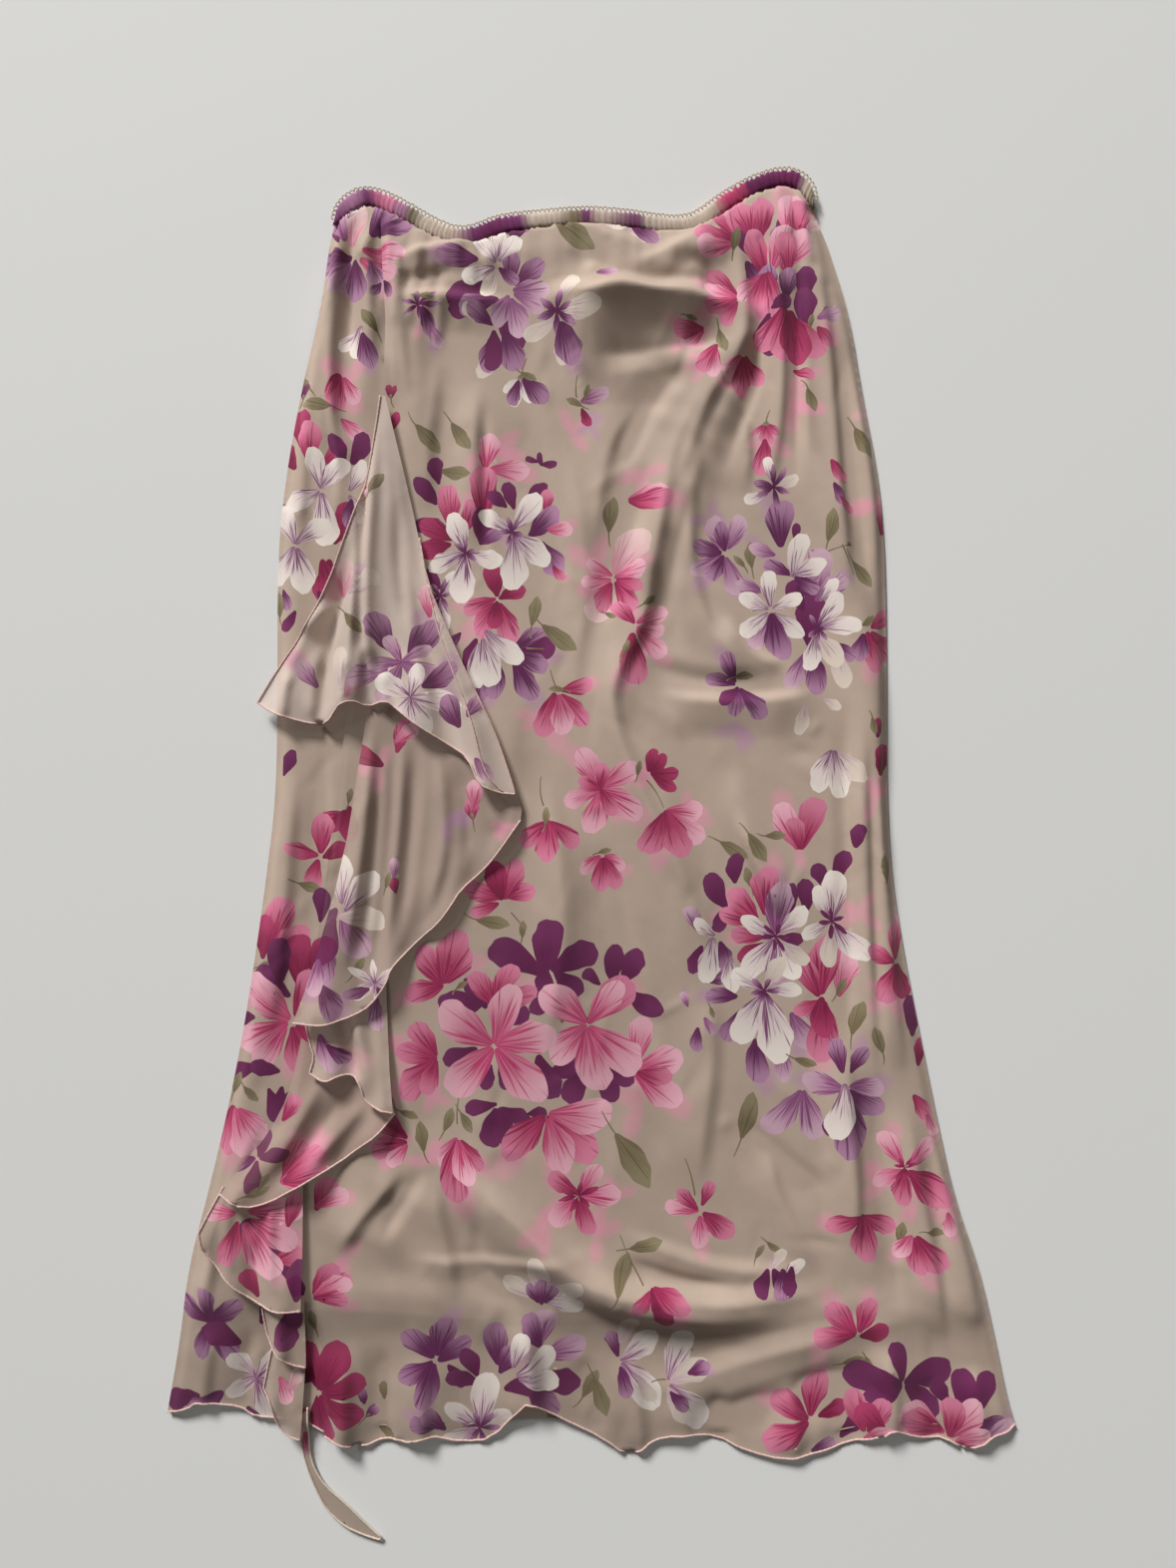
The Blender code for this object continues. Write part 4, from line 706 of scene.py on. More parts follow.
    (478, 1440, 20, 198, "white"), (482, 1434, 17, 35, "white"), (482, 1436, 17, 8, "cream"),
    (481, 1434, 27, 85, "white"), (480, 1436, 11, 0, "violet", "star"), (541, 1300, 20, 155, "cream"),
    (543, 1300, 22, 92, "cream"), (545, 1300, 21, 20, "cream"), (545, 1303, 20, -10, "white"),
    (543, 1308, 14, 92, "violet"), (540, 1306, 11, 125, "violet"), (546, 1306, 11, 60, "violet"),
    (592, 1392, 18, 60, "leaf"), (603, 1405, 22, -68, "leaf"), (620, 1365, 14, 110, "violet"),
    (622, 1352, 18, 70, "cream"), (622, 1368, 23, 32, "white"), (624, 1370, 28, -48, "white"),
    (622, 1374, 15, -70, "violet"), (640, 1384, 14, -60, "cream"), (670, 1386, 27, 69, "white"),
    (672, 1387, 21, 26, "cream"), (690, 1380, 12, 20, "violet"), (672, 1390, 27, -43, "white"),
    (670, 1392, 20, -65, "cream"), (672, 1396, 13, -48, "violet"), (668, 1386, 8, 175, "stem"),
    (365, 1425, 9, 40, "violet", "bud"), (378, 1436, 9, -30, "olive"), (364, 1412, 8, 100, "violet"),
    (384, 1408, 9, 100, "olive"), (318, 1395, 24, 110, "magenta"), (320, 1395, 25, 60, "magenta"),
    (322, 1398, 22, 15, "magenta"), (320, 1400, 24, -40, "magenta"), (318, 1402, 22, -85, "magenta"),
    (342, 1262, 16, 0, "pink", "halo"), (312, 1325, 12, 110, "leaf"), (314, 1298, 18, 60, "rose"),
    (314, 1300, 20, 25, "pink"), (314, 1302, 17, 0, "rose"), (316, 1215, 18, 70, "rose"),
    (316, 1212, 18, 30, "pink"),
)


# Cloth meshes

def insideOf(points, outline):
    # which points lie inside a closed outline
    inside = np.zeros(len(points), dtype=bool)
    x, y = points[:, 0], points[:, 1]
    for (ax, ay), (bx, by) in zip(outline, np.roll(outline, -1, axis=0)):
        if ay == by:
            continue
        crosses = (ay > y) != (by > y)
        inside ^= crosses & (x < (bx - ax) * (y - ay) / (by - ay) + ax)
    return inside


def cutCloth(outline, spacing, shapes):
    # plan triangles of a cloth, with the edges of the print among their edges
    loops = [outline] + [s["outline"] for s in shapes]
    fixed = np.vstack(loops)
    edges = []
    start = 0
    for loop in loops:
        count = len(loop)
        edges += [(start + k, start + (k + 1) % count) for k in range(count)]
        start += count
    low, high = outline.min(axis=0), outline.max(axis=0)
    rowStep = spacing * math.sqrt(3) / 2
    gridRows = np.arange(low[1], high[1] + rowStep, rowStep)
    grid = []
    for number, y in enumerate(gridRows):
        x = np.arange(low[0] + (number % 2) * spacing / 2, high[0] + spacing, spacing)
        grid.append(np.column_stack([x, np.full(len(x), y)]))
    grid = np.vstack(grid)
    grid = grid[insideOf(grid, outline)]
    tree = KDTree(len(fixed))
    for number, (x, y) in enumerate(fixed):
        tree.insert((x, y, 0), number)
    tree.balance()
    clear = [tree.find((x, y, 0))[2] > spacing * 0.45 for x, y in grid]
    points = np.vstack([fixed, grid[np.array(clear, dtype=bool)]]) / mm
    vectors = [Vector(point) for point in points]
    made = delaunay_2d_cdt(vectors, edges, [], 0, 1e-4)
    plan = np.array([tuple(v) for v in made[0]]) * mm
    triangles = np.array(made[2])
    middle = plan[triangles].mean(axis=1)
    a, b, c = (plan[triangles[:, k]] for k in range(3))
    area = (b[:, 0] - a[:, 0]) * (c[:, 1] - a[:, 1]) - (b[:, 1] - a[:, 1]) * (c[:, 0] - a[:, 0])
    flipped = area < 0
    triangles[flipped] = triangles[flipped][:, ::-1]
    kept = insideOf(middle, outline) & (np.abs(area) > 1e-12)
    triangles = triangles[kept]
    used, renumbered = np.unique(triangles, return_inverse=True)
    return plan[used], renumbered.reshape(-1, 3)


def smoothStep(value):
    value = np.clip(value, 0, 1)
    return value * value * (3 - 2 * value)


def dyed(plan, triangles, shapes, halos, groundColour):
    # the dye, the streaks and the petal coordinates at each corner of each triangle
    middle = plan[triangles].mean(axis=1)
    owner = np.full(len(triangles), -1)
    for number, one in enumerate(shapes):
        low, high = one["outline"].min(axis=0), one["outline"].max(axis=0)
        near = np.nonzero(((middle >= low) & (middle <= high)).all(axis=1))[0]
        if len(near):
            owner[near[insideOf(middle[near], one["outline"])]] = number
    tint = np.tile(groundColour, (len(plan), 1))
    for at, axis, length, width, colour in halos:
        along = (plan - at) @ axis / length
        across = (plan - at) @ np.array((-axis[1], axis[0])) / width
        away = np.hypot(along, across)
        share = halo["strength"] * smoothStep(halo["reach"] - halo["fall"] * away)[:, None]
        tint = tint * (1 - share) + colour * share
    corners = triangles.reshape(-1)
    tone = tint[corners].reshape(-1, 3, 3)
    vein = np.zeros((len(triangles), 3, 4))
    place = np.zeros((len(triangles), 3, 3))
    cornerPlaces = plan[corners].reshape(-1, 3, 2)
    for number in np.unique(owner[owner >= 0]):
        one = shapes[number]
        held = owner == number
        offset = (cornerPlaces[held] - one["throat"]) / one["length"]
        axis = one["axis"]
        u = offset @ axis
        v = offset @ np.array((-axis[1], axis[0]))
        reach = np.hypot(u, v)
        pale = smoothStep((reach - 0.25) / 0.7)[..., None]
        tone[held] = one["body"] * (1 - pale) + one["edge"] * pale
        vein[held, :, :3] = one["streak"]
        vein[held, :, 3] = one["strength"]
        near = 1.0 / one["streakReach"]
        place[held] = np.stack([u * near, v * near, np.full(u.shape, one["seed"])], axis=-1)
    return tone.reshape(-1, 3), vein.reshape(-1, 4), place.reshape(-1, 3)


def addCloth(name, plan, triangles, heights, paint, material):
    mesh = bpy.data.meshes.new(name)
    mesh.vertices.add(len(plan))
    mesh.vertices.foreach_set("co", np.column_stack([plan, heights]).ravel())
    mesh.loops.add(triangles.size)
    mesh.loops.foreach_set("vertex_index", triangles.ravel().astype(np.int32))
    mesh.polygons.add(len(triangles))
    mesh.polygons.foreach_set("loop_start", np.arange(0, triangles.size, 3, dtype=np.int32))
    mesh.update(calc_edges=True)
    if paint:
        tone, vein, place = paint
        scaled = np.clip(tone * light["albedoPerColour"], 0, 1)
        colour = np.column_stack([scaled, np.ones(len(tone))]).astype(np.float32)
        mesh.attributes.new("tone", "FLOAT_COLOR", "CORNER").data.foreach_set("color", colour.ravel())
        vein = vein.copy()
        vein[:, :3] = np.clip(vein[:, :3] * light["albedoPerColour"], 0, 1)
        mesh.attributes.new("vein", "FLOAT_COLOR", "CORNER").data.foreach_set(
            "color", vein.astype(np.float32).ravel())
        mesh.attributes.new("petal", "FLOAT_VECTOR", "CORNER").data.foreach_set(
            "vector", place.astype(np.float32).ravel())
    mesh.shade_smooth()
    mesh.materials.append(material)
    return addPiece(name, mesh)


def addPiece(name, mesh):
    piece = bpy.data.objects.new(name, mesh)
    bpy.context.scene.collection.objects.link(piece)
    return piece


def ringMesh(name, rings, material, tones):
    # a tube through rings of points, with its ends filled
    rings = np.array(rings)
    count, around = rings.shape[:2]
    faces = []
    for k in range(count - 1):
        n = k + 1
        for j in range(around):
            m = (j + 1) % around
            faces.append((k * around + j, k * around + m, n * around + m, n * around + j))
    faces.append(tuple(range(around))[::-1])
    faces.append(tuple((count - 1) * around + j for j in range(around)))
    mesh = bpy.data.meshes.new(name)
    mesh.from_pydata(rings.reshape(-1, 3).tolist(), [], faces)
    scaled = np.clip(np.repeat(tones, around, axis=0) * light["albedoPerColour"], 0, 1)
    colour = np.column_stack([scaled, np.ones(len(scaled))]).astype(np.float32)
    mesh.attributes.new("tone", "FLOAT_COLOR", "POINT").data.foreach_set("color", colour.ravel())
    mesh.shade_smooth()
    mesh.materials.append(material)
    return addPiece(name, mesh)


def cordRings(path, radius, around, ripple=0.0):
    # rings round a path of points in space, with a ripple of wound thread
    along = np.gradient(path, axis=0)
    along /= np.maximum(np.linalg.norm(along, axis=1, keepdims=True), 1e-9)
    side = np.cross(along, (0.0, 0.0, 1.0))
    side /= np.maximum(np.linalg.norm(side, axis=1, keepdims=True), 1e-9)
    up = np.cross(side, along)
    rings = []
    for k in range(len(path)):
        size = radius * (1 + ripple * (-1) ** k)
        turn = np.arange(around) * 2 * math.pi / around
        rings.append(path[k] + size * (np.cos(turn)[:, None] * side[k] + np.sin(turn)[:, None] * up[k]))
    return rings


# Materials

crepe = {
    "threadScale": 900.0,
    "threads": {"Distortion": 3.0, "Detail": 1.0, "Detail Scale": 0.6},
    "grain": {"Scale": 1100.0, "Detail": 2.0},
    "mottle": {"Scale": 45.0, "Detail": 5.0, "Roughness": 0.6},
}
brush = {
    "throat": 0.10, "count": 21.0, "stretch": 1.1, "start": 0.33, "fade": 0.30, "gain": 7.0,
    "noise": {"Scale": 1.0, "Detail": 1.5, "Roughness": 0.6},
}


def nodeLink(tree, source, target):
    tree.links.new(source, target)


def setInputs(node, values):
    for label, value in values.items():
        node.inputs[label].default_value = value


def makeWeaveGroup():
    # crepe chiffon: fine crossed threads, and soft unevenness
    tree = bpy.data.node_groups.new("crepe weave", "ShaderNodeTree")
    for label, kind, way, value in (
            ("Thread Scale", "NodeSocketFloat", "INPUT", crepe["threadScale"]),
            ("Height", "NodeSocketFloat", "OUTPUT", None),
            ("Mottle", "NodeSocketFloat", "OUTPUT", None)):
        socket = tree.interface.new_socket(name=label, in_out=way, socket_type=kind)
        if value is not None:
            socket.default_value = value
    nodes = tree.nodes
    start = nodes.new("NodeGroupInput")
    end = nodes.new("NodeGroupOutput")
    place = nodes.new("ShaderNodeTexCoord")
    warp = nodes.new("ShaderNodeTexWave")
    warp.bands_direction = "X"
    weft = nodes.new("ShaderNodeTexWave")
    weft.bands_direction = "Y"
    for wave in (warp, weft):
        setInputs(wave, crepe["threads"])
        nodeLink(tree, place.outputs["Object"], wave.inputs["Vector"])
        nodeLink(tree, start.outputs["Thread Scale"], wave.inputs["Scale"])
    cross = nodes.new("ShaderNodeMath")
    cross.operation = "MULTIPLY"
    nodeLink(tree, warp.outputs["Fac"], cross.inputs[0])
    nodeLink(tree, weft.outputs["Fac"], cross.inputs[1])
    grain = nodes.new("ShaderNodeTexNoise")
    setInputs(grain, crepe["grain"])
    nodeLink(tree, place.outputs["Object"], grain.inputs["Vector"])
    total = nodes.new("ShaderNodeMath")
    total.operation = "ADD"
    nodeLink(tree, cross.outputs[0], total.inputs[0])
    nodeLink(tree, grain.outputs["Fac"], total.inputs[1])
    nodeLink(tree, total.outputs[0], end.inputs["Height"])
    mottle = nodes.new("ShaderNodeTexNoise")
    setInputs(mottle, crepe["mottle"])
    nodeLink(tree, place.outputs["Object"], mottle.inputs["Vector"])
    nodeLink(tree, mottle.outputs["Fac"], end.inputs["Mottle"])
    return tree


def makeStreakGroup():
    # brush streaks that run out from a petal's throat; the vector is the place on the petal
    tree = bpy.data.node_groups.new("petal streaks", "ShaderNodeTree")
    tree.interface.new_socket(name="Petal", in_out="INPUT", socket_type="NodeSocketVector")
    tree.interface.new_socket(name="Mask", in_out="OUTPUT", socket_type="NodeSocketFloat")
    nodes = tree.nodes
    start = nodes.new("NodeGroupInput")
    end = nodes.new("NodeGroupOutput")
    parts = nodes.new("ShaderNodeSeparateXYZ")
    nodeLink(tree, start.outputs["Petal"], parts.inputs[0])

    def maths(operation, first, second=None, clamp=False):
        node = nodes.new("ShaderNodeMath")
        node.operation = operation
        node.use_clamp = clamp
        for socket, value in zip(node.inputs, (first, second)):
            if isinstance(value, (int, float)):
                socket.default_value = value
            elif value is not None:
                nodeLink(tree, value, socket)
        return node.outputs[0]

    forward = maths("ADD", parts.outputs["X"], brush["throat"])
    angle = maths("ARCTAN2", parts.outputs["Y"], forward)
    across = maths("MULTIPLY", angle, brush["count"])
    u2 = maths("MULTIPLY", parts.outputs["X"], parts.outputs["X"])
    v2 = maths("MULTIPLY", parts.outputs["Y"], parts.outputs["Y"])
    reach = maths("SQRT", maths("ADD", u2, v2))
    vector = nodes.new("ShaderNodeCombineXYZ")
    nodeLink(tree, across, vector.inputs[0])
    nodeLink(tree, maths("MULTIPLY", reach, brush["stretch"]), vector.inputs[1])
    nodeLink(tree, parts.outputs["Z"], vector.inputs[2])
    noise = nodes.new("ShaderNodeTexNoise")
    setInputs(noise, brush["noise"])
    nodeLink(tree, vector.outputs[0], noise.inputs["Vector"])
    limit = maths("ADD", maths("MULTIPLY", reach, brush["fade"]), brush["start"])
    over = maths("SUBTRACT", noise.outputs["Fac"], limit)
    streaks = maths("MULTIPLY", over, brush["gain"], True)
    nodeLink(tree, streaks, end.inputs["Mask"])
    return tree


def startMaterial(name, roughness, sheen, alpha=1.0):
    material = bpy.data.materials.new(name)
    material.use_nodes = True
    shader = material.node_tree.nodes["Principled BSDF"]
    setInputs(shader, {"Roughness": roughness, "Sheen Weight": sheen, "Specular IOR Level": 0.25,
                       "Alpha": alpha})
    return material, material.node_tree, shader


def addGroup(tree, group):
    node = tree.nodes.new("ShaderNodeGroup")
    node.node_tree = group
    return node


def mixColours(tree, share, first, second):
    node = tree.nodes.new("ShaderNodeMix")
    node.data_type = "RGBA"
    for number, source in ((0, share), (6, first), (7, second)):  # the sockets for colours
        nodeLink(tree, source, node.inputs[number])
    return node.outputs[2]


def readAttribute(tree, name):
    node = tree.nodes.new("ShaderNodeAttribute")
    node.attribute_name = name
    return node


def addWeaveBump(tree, shader, weave, strength, distance):
    bump = tree.nodes.new("ShaderNodeBump")
    setInputs(bump, {"Strength": strength, "Distance": distance})
    nodeLink(tree, weave.outputs["Height"], bump.inputs["Height"])
    nodeLink(tree, bump.outputs[0], shader.inputs["Normal"])


def mottled(tree, colour, weave, low, high):
    # a colour made a little lighter and darker by the weave's mottle
    spread = tree.nodes.new("ShaderNodeMapRange")
    setInputs(spread, {"From Min": 0.3, "From Max": 0.7, "To Min": low, "To Max": high})
    nodeLink(tree, weave.outputs["Mottle"], spread.inputs["Value"])
    scaled = tree.nodes.new("ShaderNodeVectorMath")
    scaled.operation = "SCALE"
    nodeLink(tree, colour, scaled.inputs[0])
    nodeLink(tree, spread.outputs[0], scaled.inputs["Scale"])
    return scaled.outputs[0]


def printedMaterial(name, alpha):
    # printed chiffon: the dye with its streaks, on crossed threads
    material, tree, shader = startMaterial(name, 0.78, 0.12, alpha)
    tone = readAttribute(tree, "tone")
    vein = readAttribute(tree, "vein")
    place = readAttribute(tree, "petal")
    streaks = addGroup(tree, streakGroup)
    nodeLink(tree, place.outputs["Vector"], streaks.inputs["Petal"])
    share = tree.nodes.new("ShaderNodeMath")
    share.operation = "MULTIPLY"
    nodeLink(tree, streaks.outputs["Mask"], share.inputs[0])
    nodeLink(tree, vein.outputs["Alpha"], share.inputs[1])
    streaked = mixColours(tree, share.outputs[0], tone.outputs["Color"], vein.outputs["Color"])
    weave = addGroup(tree, weaveGroup)
    nodeLink(tree, mottled(tree, streaked, weave, 0.95, 1.05), shader.inputs["Base Color"])
    addWeaveBump(tree, shader, weave, 0.25, 0.00012)
    return material


def tonedMaterial(name, roughness, low, high, bump):
    # plain or place-coloured cloth and thread
    material, tree, shader = startMaterial(name, roughness, 0.1)
    tone = readAttribute(tree, "tone")
    weave = addGroup(tree, weaveGroup)
    nodeLink(tree, mottled(tree, tone.outputs["Color"], weave, low, high), shader.inputs["Base Color"])
    addWeaveBump(tree, shader, weave, bump, 0.0002)
    return material


weaveGroup = makeWeaveGroup()
streakGroup = makeStreakGroup()
frontChiffon = printedMaterial("printed chiffon", 0.90)
backChiffon = printedMaterial("back chiffon", 1.0)
ruffleChiffon = printedMaterial("ruffle chiffon", 0.80)
plainLining = tonedMaterial("plain lining", 0.6, 0.97, 1.03, 0.15)
casingCloth = tonedMaterial("ruched casing chiffon", 0.8, 0.78, 1.18, 0.5)
threadMaterial = tonedMaterial("cream and pink thread", 0.7, 0.9, 1.08, 0.3)
print("materials made")


# Creases and small wrinkles

frontCreases = (
    # columns: height mm, width mm on the left and on the right, then photo x and y of its points
    # under the waist: the cloth hangs in swags between the gathered corners
    (11.5, 10, 25, 536, 310, 566, 292, 590, 300, 622, 290, 654, 299, 690, 295, 722, 308, 752, 304),
    (3.0, 6, 12, 590, 298, 650, 297, 700, 304, 746, 312),
    (-4.6, 13, 12, 590, 358, 640, 352, 700, 346, 742, 338),
    (3.2, 8, 14, 536, 218, 576, 222, 616, 236, 664, 256),
    (3.4, 6, 9, 634, 268, 672, 252, 700, 234, 724, 214),
    (2.6, 6, 8, 596, 290, 590, 274, 596, 262),
    (4.0, 4, 6, 396, 264, 420, 252, 456, 244, 486, 246),
    (-1.8, 5, 6, 398, 284, 430, 276, 462, 270),
    (3.4, 5, 8, 392, 300, 430, 296, 470, 300, 520, 304),
    (2.0, 4, 6, 690, 262, 704, 280, 700, 300),
    # the gathered left corner
    (3.0, 5, 7, 342, 205, 338, 262, 334, 330, 332, 400, 334, 470),
    (-3.2, 3, 4, 356, 215, 354, 262, 352, 312, 350, 360),
    (2.4, 4, 5, 368, 208, 370, 262, 372, 312, 376, 372),
    (-2.4, 3, 4, 382, 215, 384, 270, 388, 330, 394, 390),
    (2.6, 5, 6, 396, 222, 400, 290, 404, 352, 410, 420),
    (-2.6, 3, 4, 323, 340, 327, 400, 332, 450, 335, 520),
    (2.0, 5, 5, 314, 340, 310, 400, 304, 470, 300, 560),
    # the gathered right corner
    (4.0, 7, 9, 744, 214, 742, 262, 748, 320, 744, 352, 716, 388, 700, 420, 684, 470, 664, 500),
    (-3.4, 4, 5, 762, 212, 764, 270, 766, 330, 760, 380, 742, 430, 726, 478),
    (3.2, 5, 6, 778, 206, 780, 290, 784, 372, 778, 452, 768, 520),
    (-4.2, 4, 4, 799, 236, 802, 300, 801, 380, 800, 450, 802, 500),
    (4.4, 5, 8, 812, 214, 822, 280, 832, 360, 838, 450, 846, 540, 852, 620),
    (-2.4, 4, 5, 842, 300, 852, 380, 860, 460, 868, 540, 872, 620),
    (2.6, 5, 5, 838, 250, 856, 330, 872, 420, 880, 520, 886, 600),
    (2.4, 4, 6, 716, 384, 740, 402, 752, 440, 748, 500),
    # folds that fall away from the right corner
    (3.6, 7, 10, 744, 350, 700, 398, 672, 450, 666, 500, 654, 560, 648, 620, 612, 684, 616, 730, 640,
     790, 672, 850, 702, 920, 708, 990),
    (-2.6, 8, 8, 690, 360, 660, 400, 634, 440, 620, 480),
    (2.4, 7, 9, 640, 400, 612, 440, 600, 500, 596, 560),
    (-2.4, 7, 7, 650, 450, 640, 520, 622, 580, 600, 640),
    (2.8, 6, 9, 706, 430, 694, 480, 690, 540, 700, 600, 716, 640, 756, 670),
    (-2.4, 7, 8, 700, 470, 676, 560, 668, 610, 690, 660),
    (3.0, 5, 9, 655, 694, 690, 701, 740, 703, 790, 700, 824, 692),
    (-2.6, 9, 10, 640, 660, 690, 680, 740, 684, 780, 676),
    (2.6, 5, 8, 724, 616, 740, 640, 760, 660, 792, 668),
    (2.4, 6, 8, 480, 380, 476, 430, 478, 500, 476, 560),
    (-2.2, 4, 6, 486, 400, 486, 460, 488, 520, 484, 570),
    (2.2, 7, 9, 440, 350, 436, 400, 428, 450, 430, 520),
    (-1.8, 8, 9, 520, 400, 540, 470, 560, 540, 566, 620),
    (2.0, 9, 10, 560, 420, 580, 500, 590, 580, 580, 660, 560, 740),
    # lower middle
    (2.8, 6, 8, 738, 806, 752, 850, 772, 890, 796, 930),
    (-2.2, 4, 5, 730, 812, 744, 856, 764, 898, 784, 936),
    (2.2, 9, 10, 540, 760, 560, 840, 566, 920, 556, 1010, 540, 1080),
    (-2.0, 9, 9, 600, 840, 620, 920, 640, 1000, 660, 1090),
    (2.4, 8, 10, 712, 980, 716, 1060, 706, 1130, 700, 1200),
    (2.2, 6, 8, 770, 1140, 776, 1190, 800, 1240, 826, 1280),
    (-2.0, 8, 9, 740, 1120, 790, 1168, 838, 1200),
    # right side, which hangs in long folds
    (-3.0, 4, 4, 848, 690, 851, 780, 853, 880, 854, 980, 852, 1060),
    (2.8, 5, 5, 862, 690, 864, 780, 868, 900, 872, 1010, 880, 1110),
    (-2.6, 3, 4, 872, 730, 876, 840, 880, 950, 886, 1060),
    (2.4, 4, 5, 882, 760, 888, 880, 896, 990, 908, 1090),
    (3.0, 6, 7, 846, 1040, 854, 1130, 858, 1200, 856, 1270),
    (-2.4, 5, 6, 872, 1080, 888, 1170, 898, 1250, 906, 1330),
    (2.4, 5, 7, 906, 1096, 922, 1190, 938, 1280, 950, 1360),
    (-2.0, 4, 6, 930, 1140, 944, 1230, 958, 1320),
    (2.2, 5, 6, 950, 1150, 966, 1250, 984, 1350),
    # the swag above the hem
    (5.6, 9, 16, 430, 1160, 474, 1186, 520, 1222, 560, 1262, 600, 1290, 660, 1302, 740, 1304, 806, 1300,
     850, 1290),
    (-3.2, 12, 14, 540, 1276, 590, 1318, 650, 1336, 720, 1342, 800, 1334),
    (2.6, 6, 9, 616, 1236, 660, 1252, 706, 1268, 760, 1276, 812, 1272),
    (-2.0, 6, 7, 620, 1262, 680, 1284, 740, 1292),
    (3.0, 7, 9, 402, 1168, 384, 1198, 352, 1232, 340, 1262),
    (-2.2, 6, 7, 424, 1170, 410, 1200, 392, 1226, 380, 1250),
    (2.6, 7, 9, 436, 1172, 438, 1210, 450, 1260, 458, 1310),
    (-2.2, 8, 9, 470, 1200, 480, 1250, 500, 1296, 540, 1320),
    (3.4, 12, 14, 640, 1400, 700, 1384, 770, 1360, 840, 1340, 930, 1322),
    (-3.0, 12, 12, 690, 1430, 760, 1410, 830, 1386, 880, 1366),
    (1.8, 4, 5, 400, 1262, 470, 1266, 540, 1264, 600, 1258),
    # left side
    (2.6, 6, 7, 296, 760, 290, 860, 282, 960, 264, 1060),
    (-2.2, 4, 5, 322, 740, 326, 800, 320, 880, 310, 960),
    (2.4, 5, 7, 262, 1110, 238, 1180, 216, 1250, 202, 1330),
    (-2.0, 5, 6, 236, 1150, 206, 1240, 190, 1330),
    # waves of the hem
    (3.0, 7, 8, 345, 1350, 344, 1400, 346, 1470),
    (-2.4, 7, 8, 382, 1350, 386, 1400, 384, 1470),
    (2.6, 7, 8, 420, 1360, 424, 1410, 422, 1475),
    (-2.2, 8, 8, 470, 1370, 474, 1410, 470, 1475),
    (3.0, 9, 9, 528, 1320, 532, 1372, 534, 1440),
    (-2.2, 7, 8, 584, 1360, 596, 1400, 604, 1450),
    (2.6, 7, 8, 630, 1360, 640, 1410, 646, 1475),
    (-2.6, 9, 9, 716, 1390, 722, 1420, 726, 1475),
    (3.2, 9, 9, 790, 1380, 798, 1420, 800, 1480),
    (-2.4, 8, 8, 850, 1380, 856, 1420, 856, 1470),
    (3.0, 7, 8, 890, 1346, 896, 1400, 900, 1460),
    (-2.2, 7, 7, 930, 1380, 940, 1420, 946, 1470),
    (2.6, 7, 8, 976, 1370, 984, 1420, 990, 1470),
    (2.2, 6, 7, 214, 1330, 206, 1380, 200, 1430),
    (-2.0, 6, 6, 250, 1330, 246, 1380, 244, 1430),
)

ruffleCreases = (
    # first fall: a deep fold down its middle, and an edge that turns over on the right
    (4.6, 12, 1.6, 381, 400, 374, 470, 371, 540, 369, 600, 370, 660, 380, 720),
    (4.4, 2.2, 8, 369, 430, 363, 500, 358, 570, 355, 640, 352, 700),
    (2.2, 1.6, 4, 366, 640, 362, 680, 360, 712),
    (2.6, 5, 6, 362, 500, 334, 580, 304, 650, 276, 700),
    (-2.6, 4, 5, 358, 560, 330, 640, 320, 690, 318, 720),
    (-2.6, 4, 5, 396, 500, 400, 580, 410, 640, 424, 700),
    (3.4, 15, 1.4, 414, 500, 425, 560, 434, 610, 448, 655, 468, 706, 486, 770, 494, 800),
    (1.8, 3, 5, 396, 440, 404, 520, 412, 600, 424, 660),
    (2.4, 4, 5, 402, 600, 416, 650, 430, 700, 440, 740),
    # its hem curls in short flutes
    (3.0, 3, 5, 326, 640, 318, 680, 314, 735),
    (2.6, 2, 5, 296, 670, 288, 700, 286, 728),
    (3.4, 5, 2, 346, 650, 343, 690, 346, 722),
    (2.8, 4, 3, 384, 668, 386, 696, 390, 722),
    (-2.2, 3, 4, 372, 650, 384, 676, 392, 704),
    (2.2, 4, 4, 300, 640, 318, 622, 342, 604),
    # second fall: long flutes
    (4.0, 3, 7, 374, 722, 372, 800, 360, 900, 344, 990),
    (-3.0, 4, 4, 352, 722, 350, 800, 336, 880, 328, 950),
    (3.0, 3, 4, 404, 722, 403, 800, 394, 890, 386, 980),
    (-3.2, 4, 4, 416, 730, 416, 800, 408, 890, 398, 960),
    (3.6, 4, 9, 436, 740, 446, 800, 446, 860, 424, 930),
    (-2.4, 5, 5, 456, 760, 470, 820, 468, 870),
    (2.4, 5, 6, 478, 776, 494, 812, 500, 838),
    (1.8, 3, 4, 388, 730, 388, 830, 378, 920, 362, 992),
    # third and fourth fall
    (2.4, 4, 4, 320, 1000, 340, 1036, 346, 1066),
    (2.6, 4, 5, 352, 1006, 370, 1060, 378, 1100),
    (-2.2, 3, 4, 338, 1004, 356, 1050, 362, 1084),
    (2.8, 5, 6, 330, 1070, 300, 1130, 262, 1186),
    (-2.4, 5, 5, 346, 1090, 318, 1140, 286, 1190),
    (2.4, 5, 6, 370, 1100, 346, 1130, 316, 1166),
    # lower falls
    (2.2, 3, 4, 236, 1198, 228, 1236, 240, 1276),
    (-2.2, 3, 4, 254, 1196, 250, 1240, 262, 1290),
    (2.4, 3, 4, 276, 1190, 272, 1240, 276, 1296),
    (2.0, 3, 4, 282, 1300, 284, 1340, 288, 1370),
)

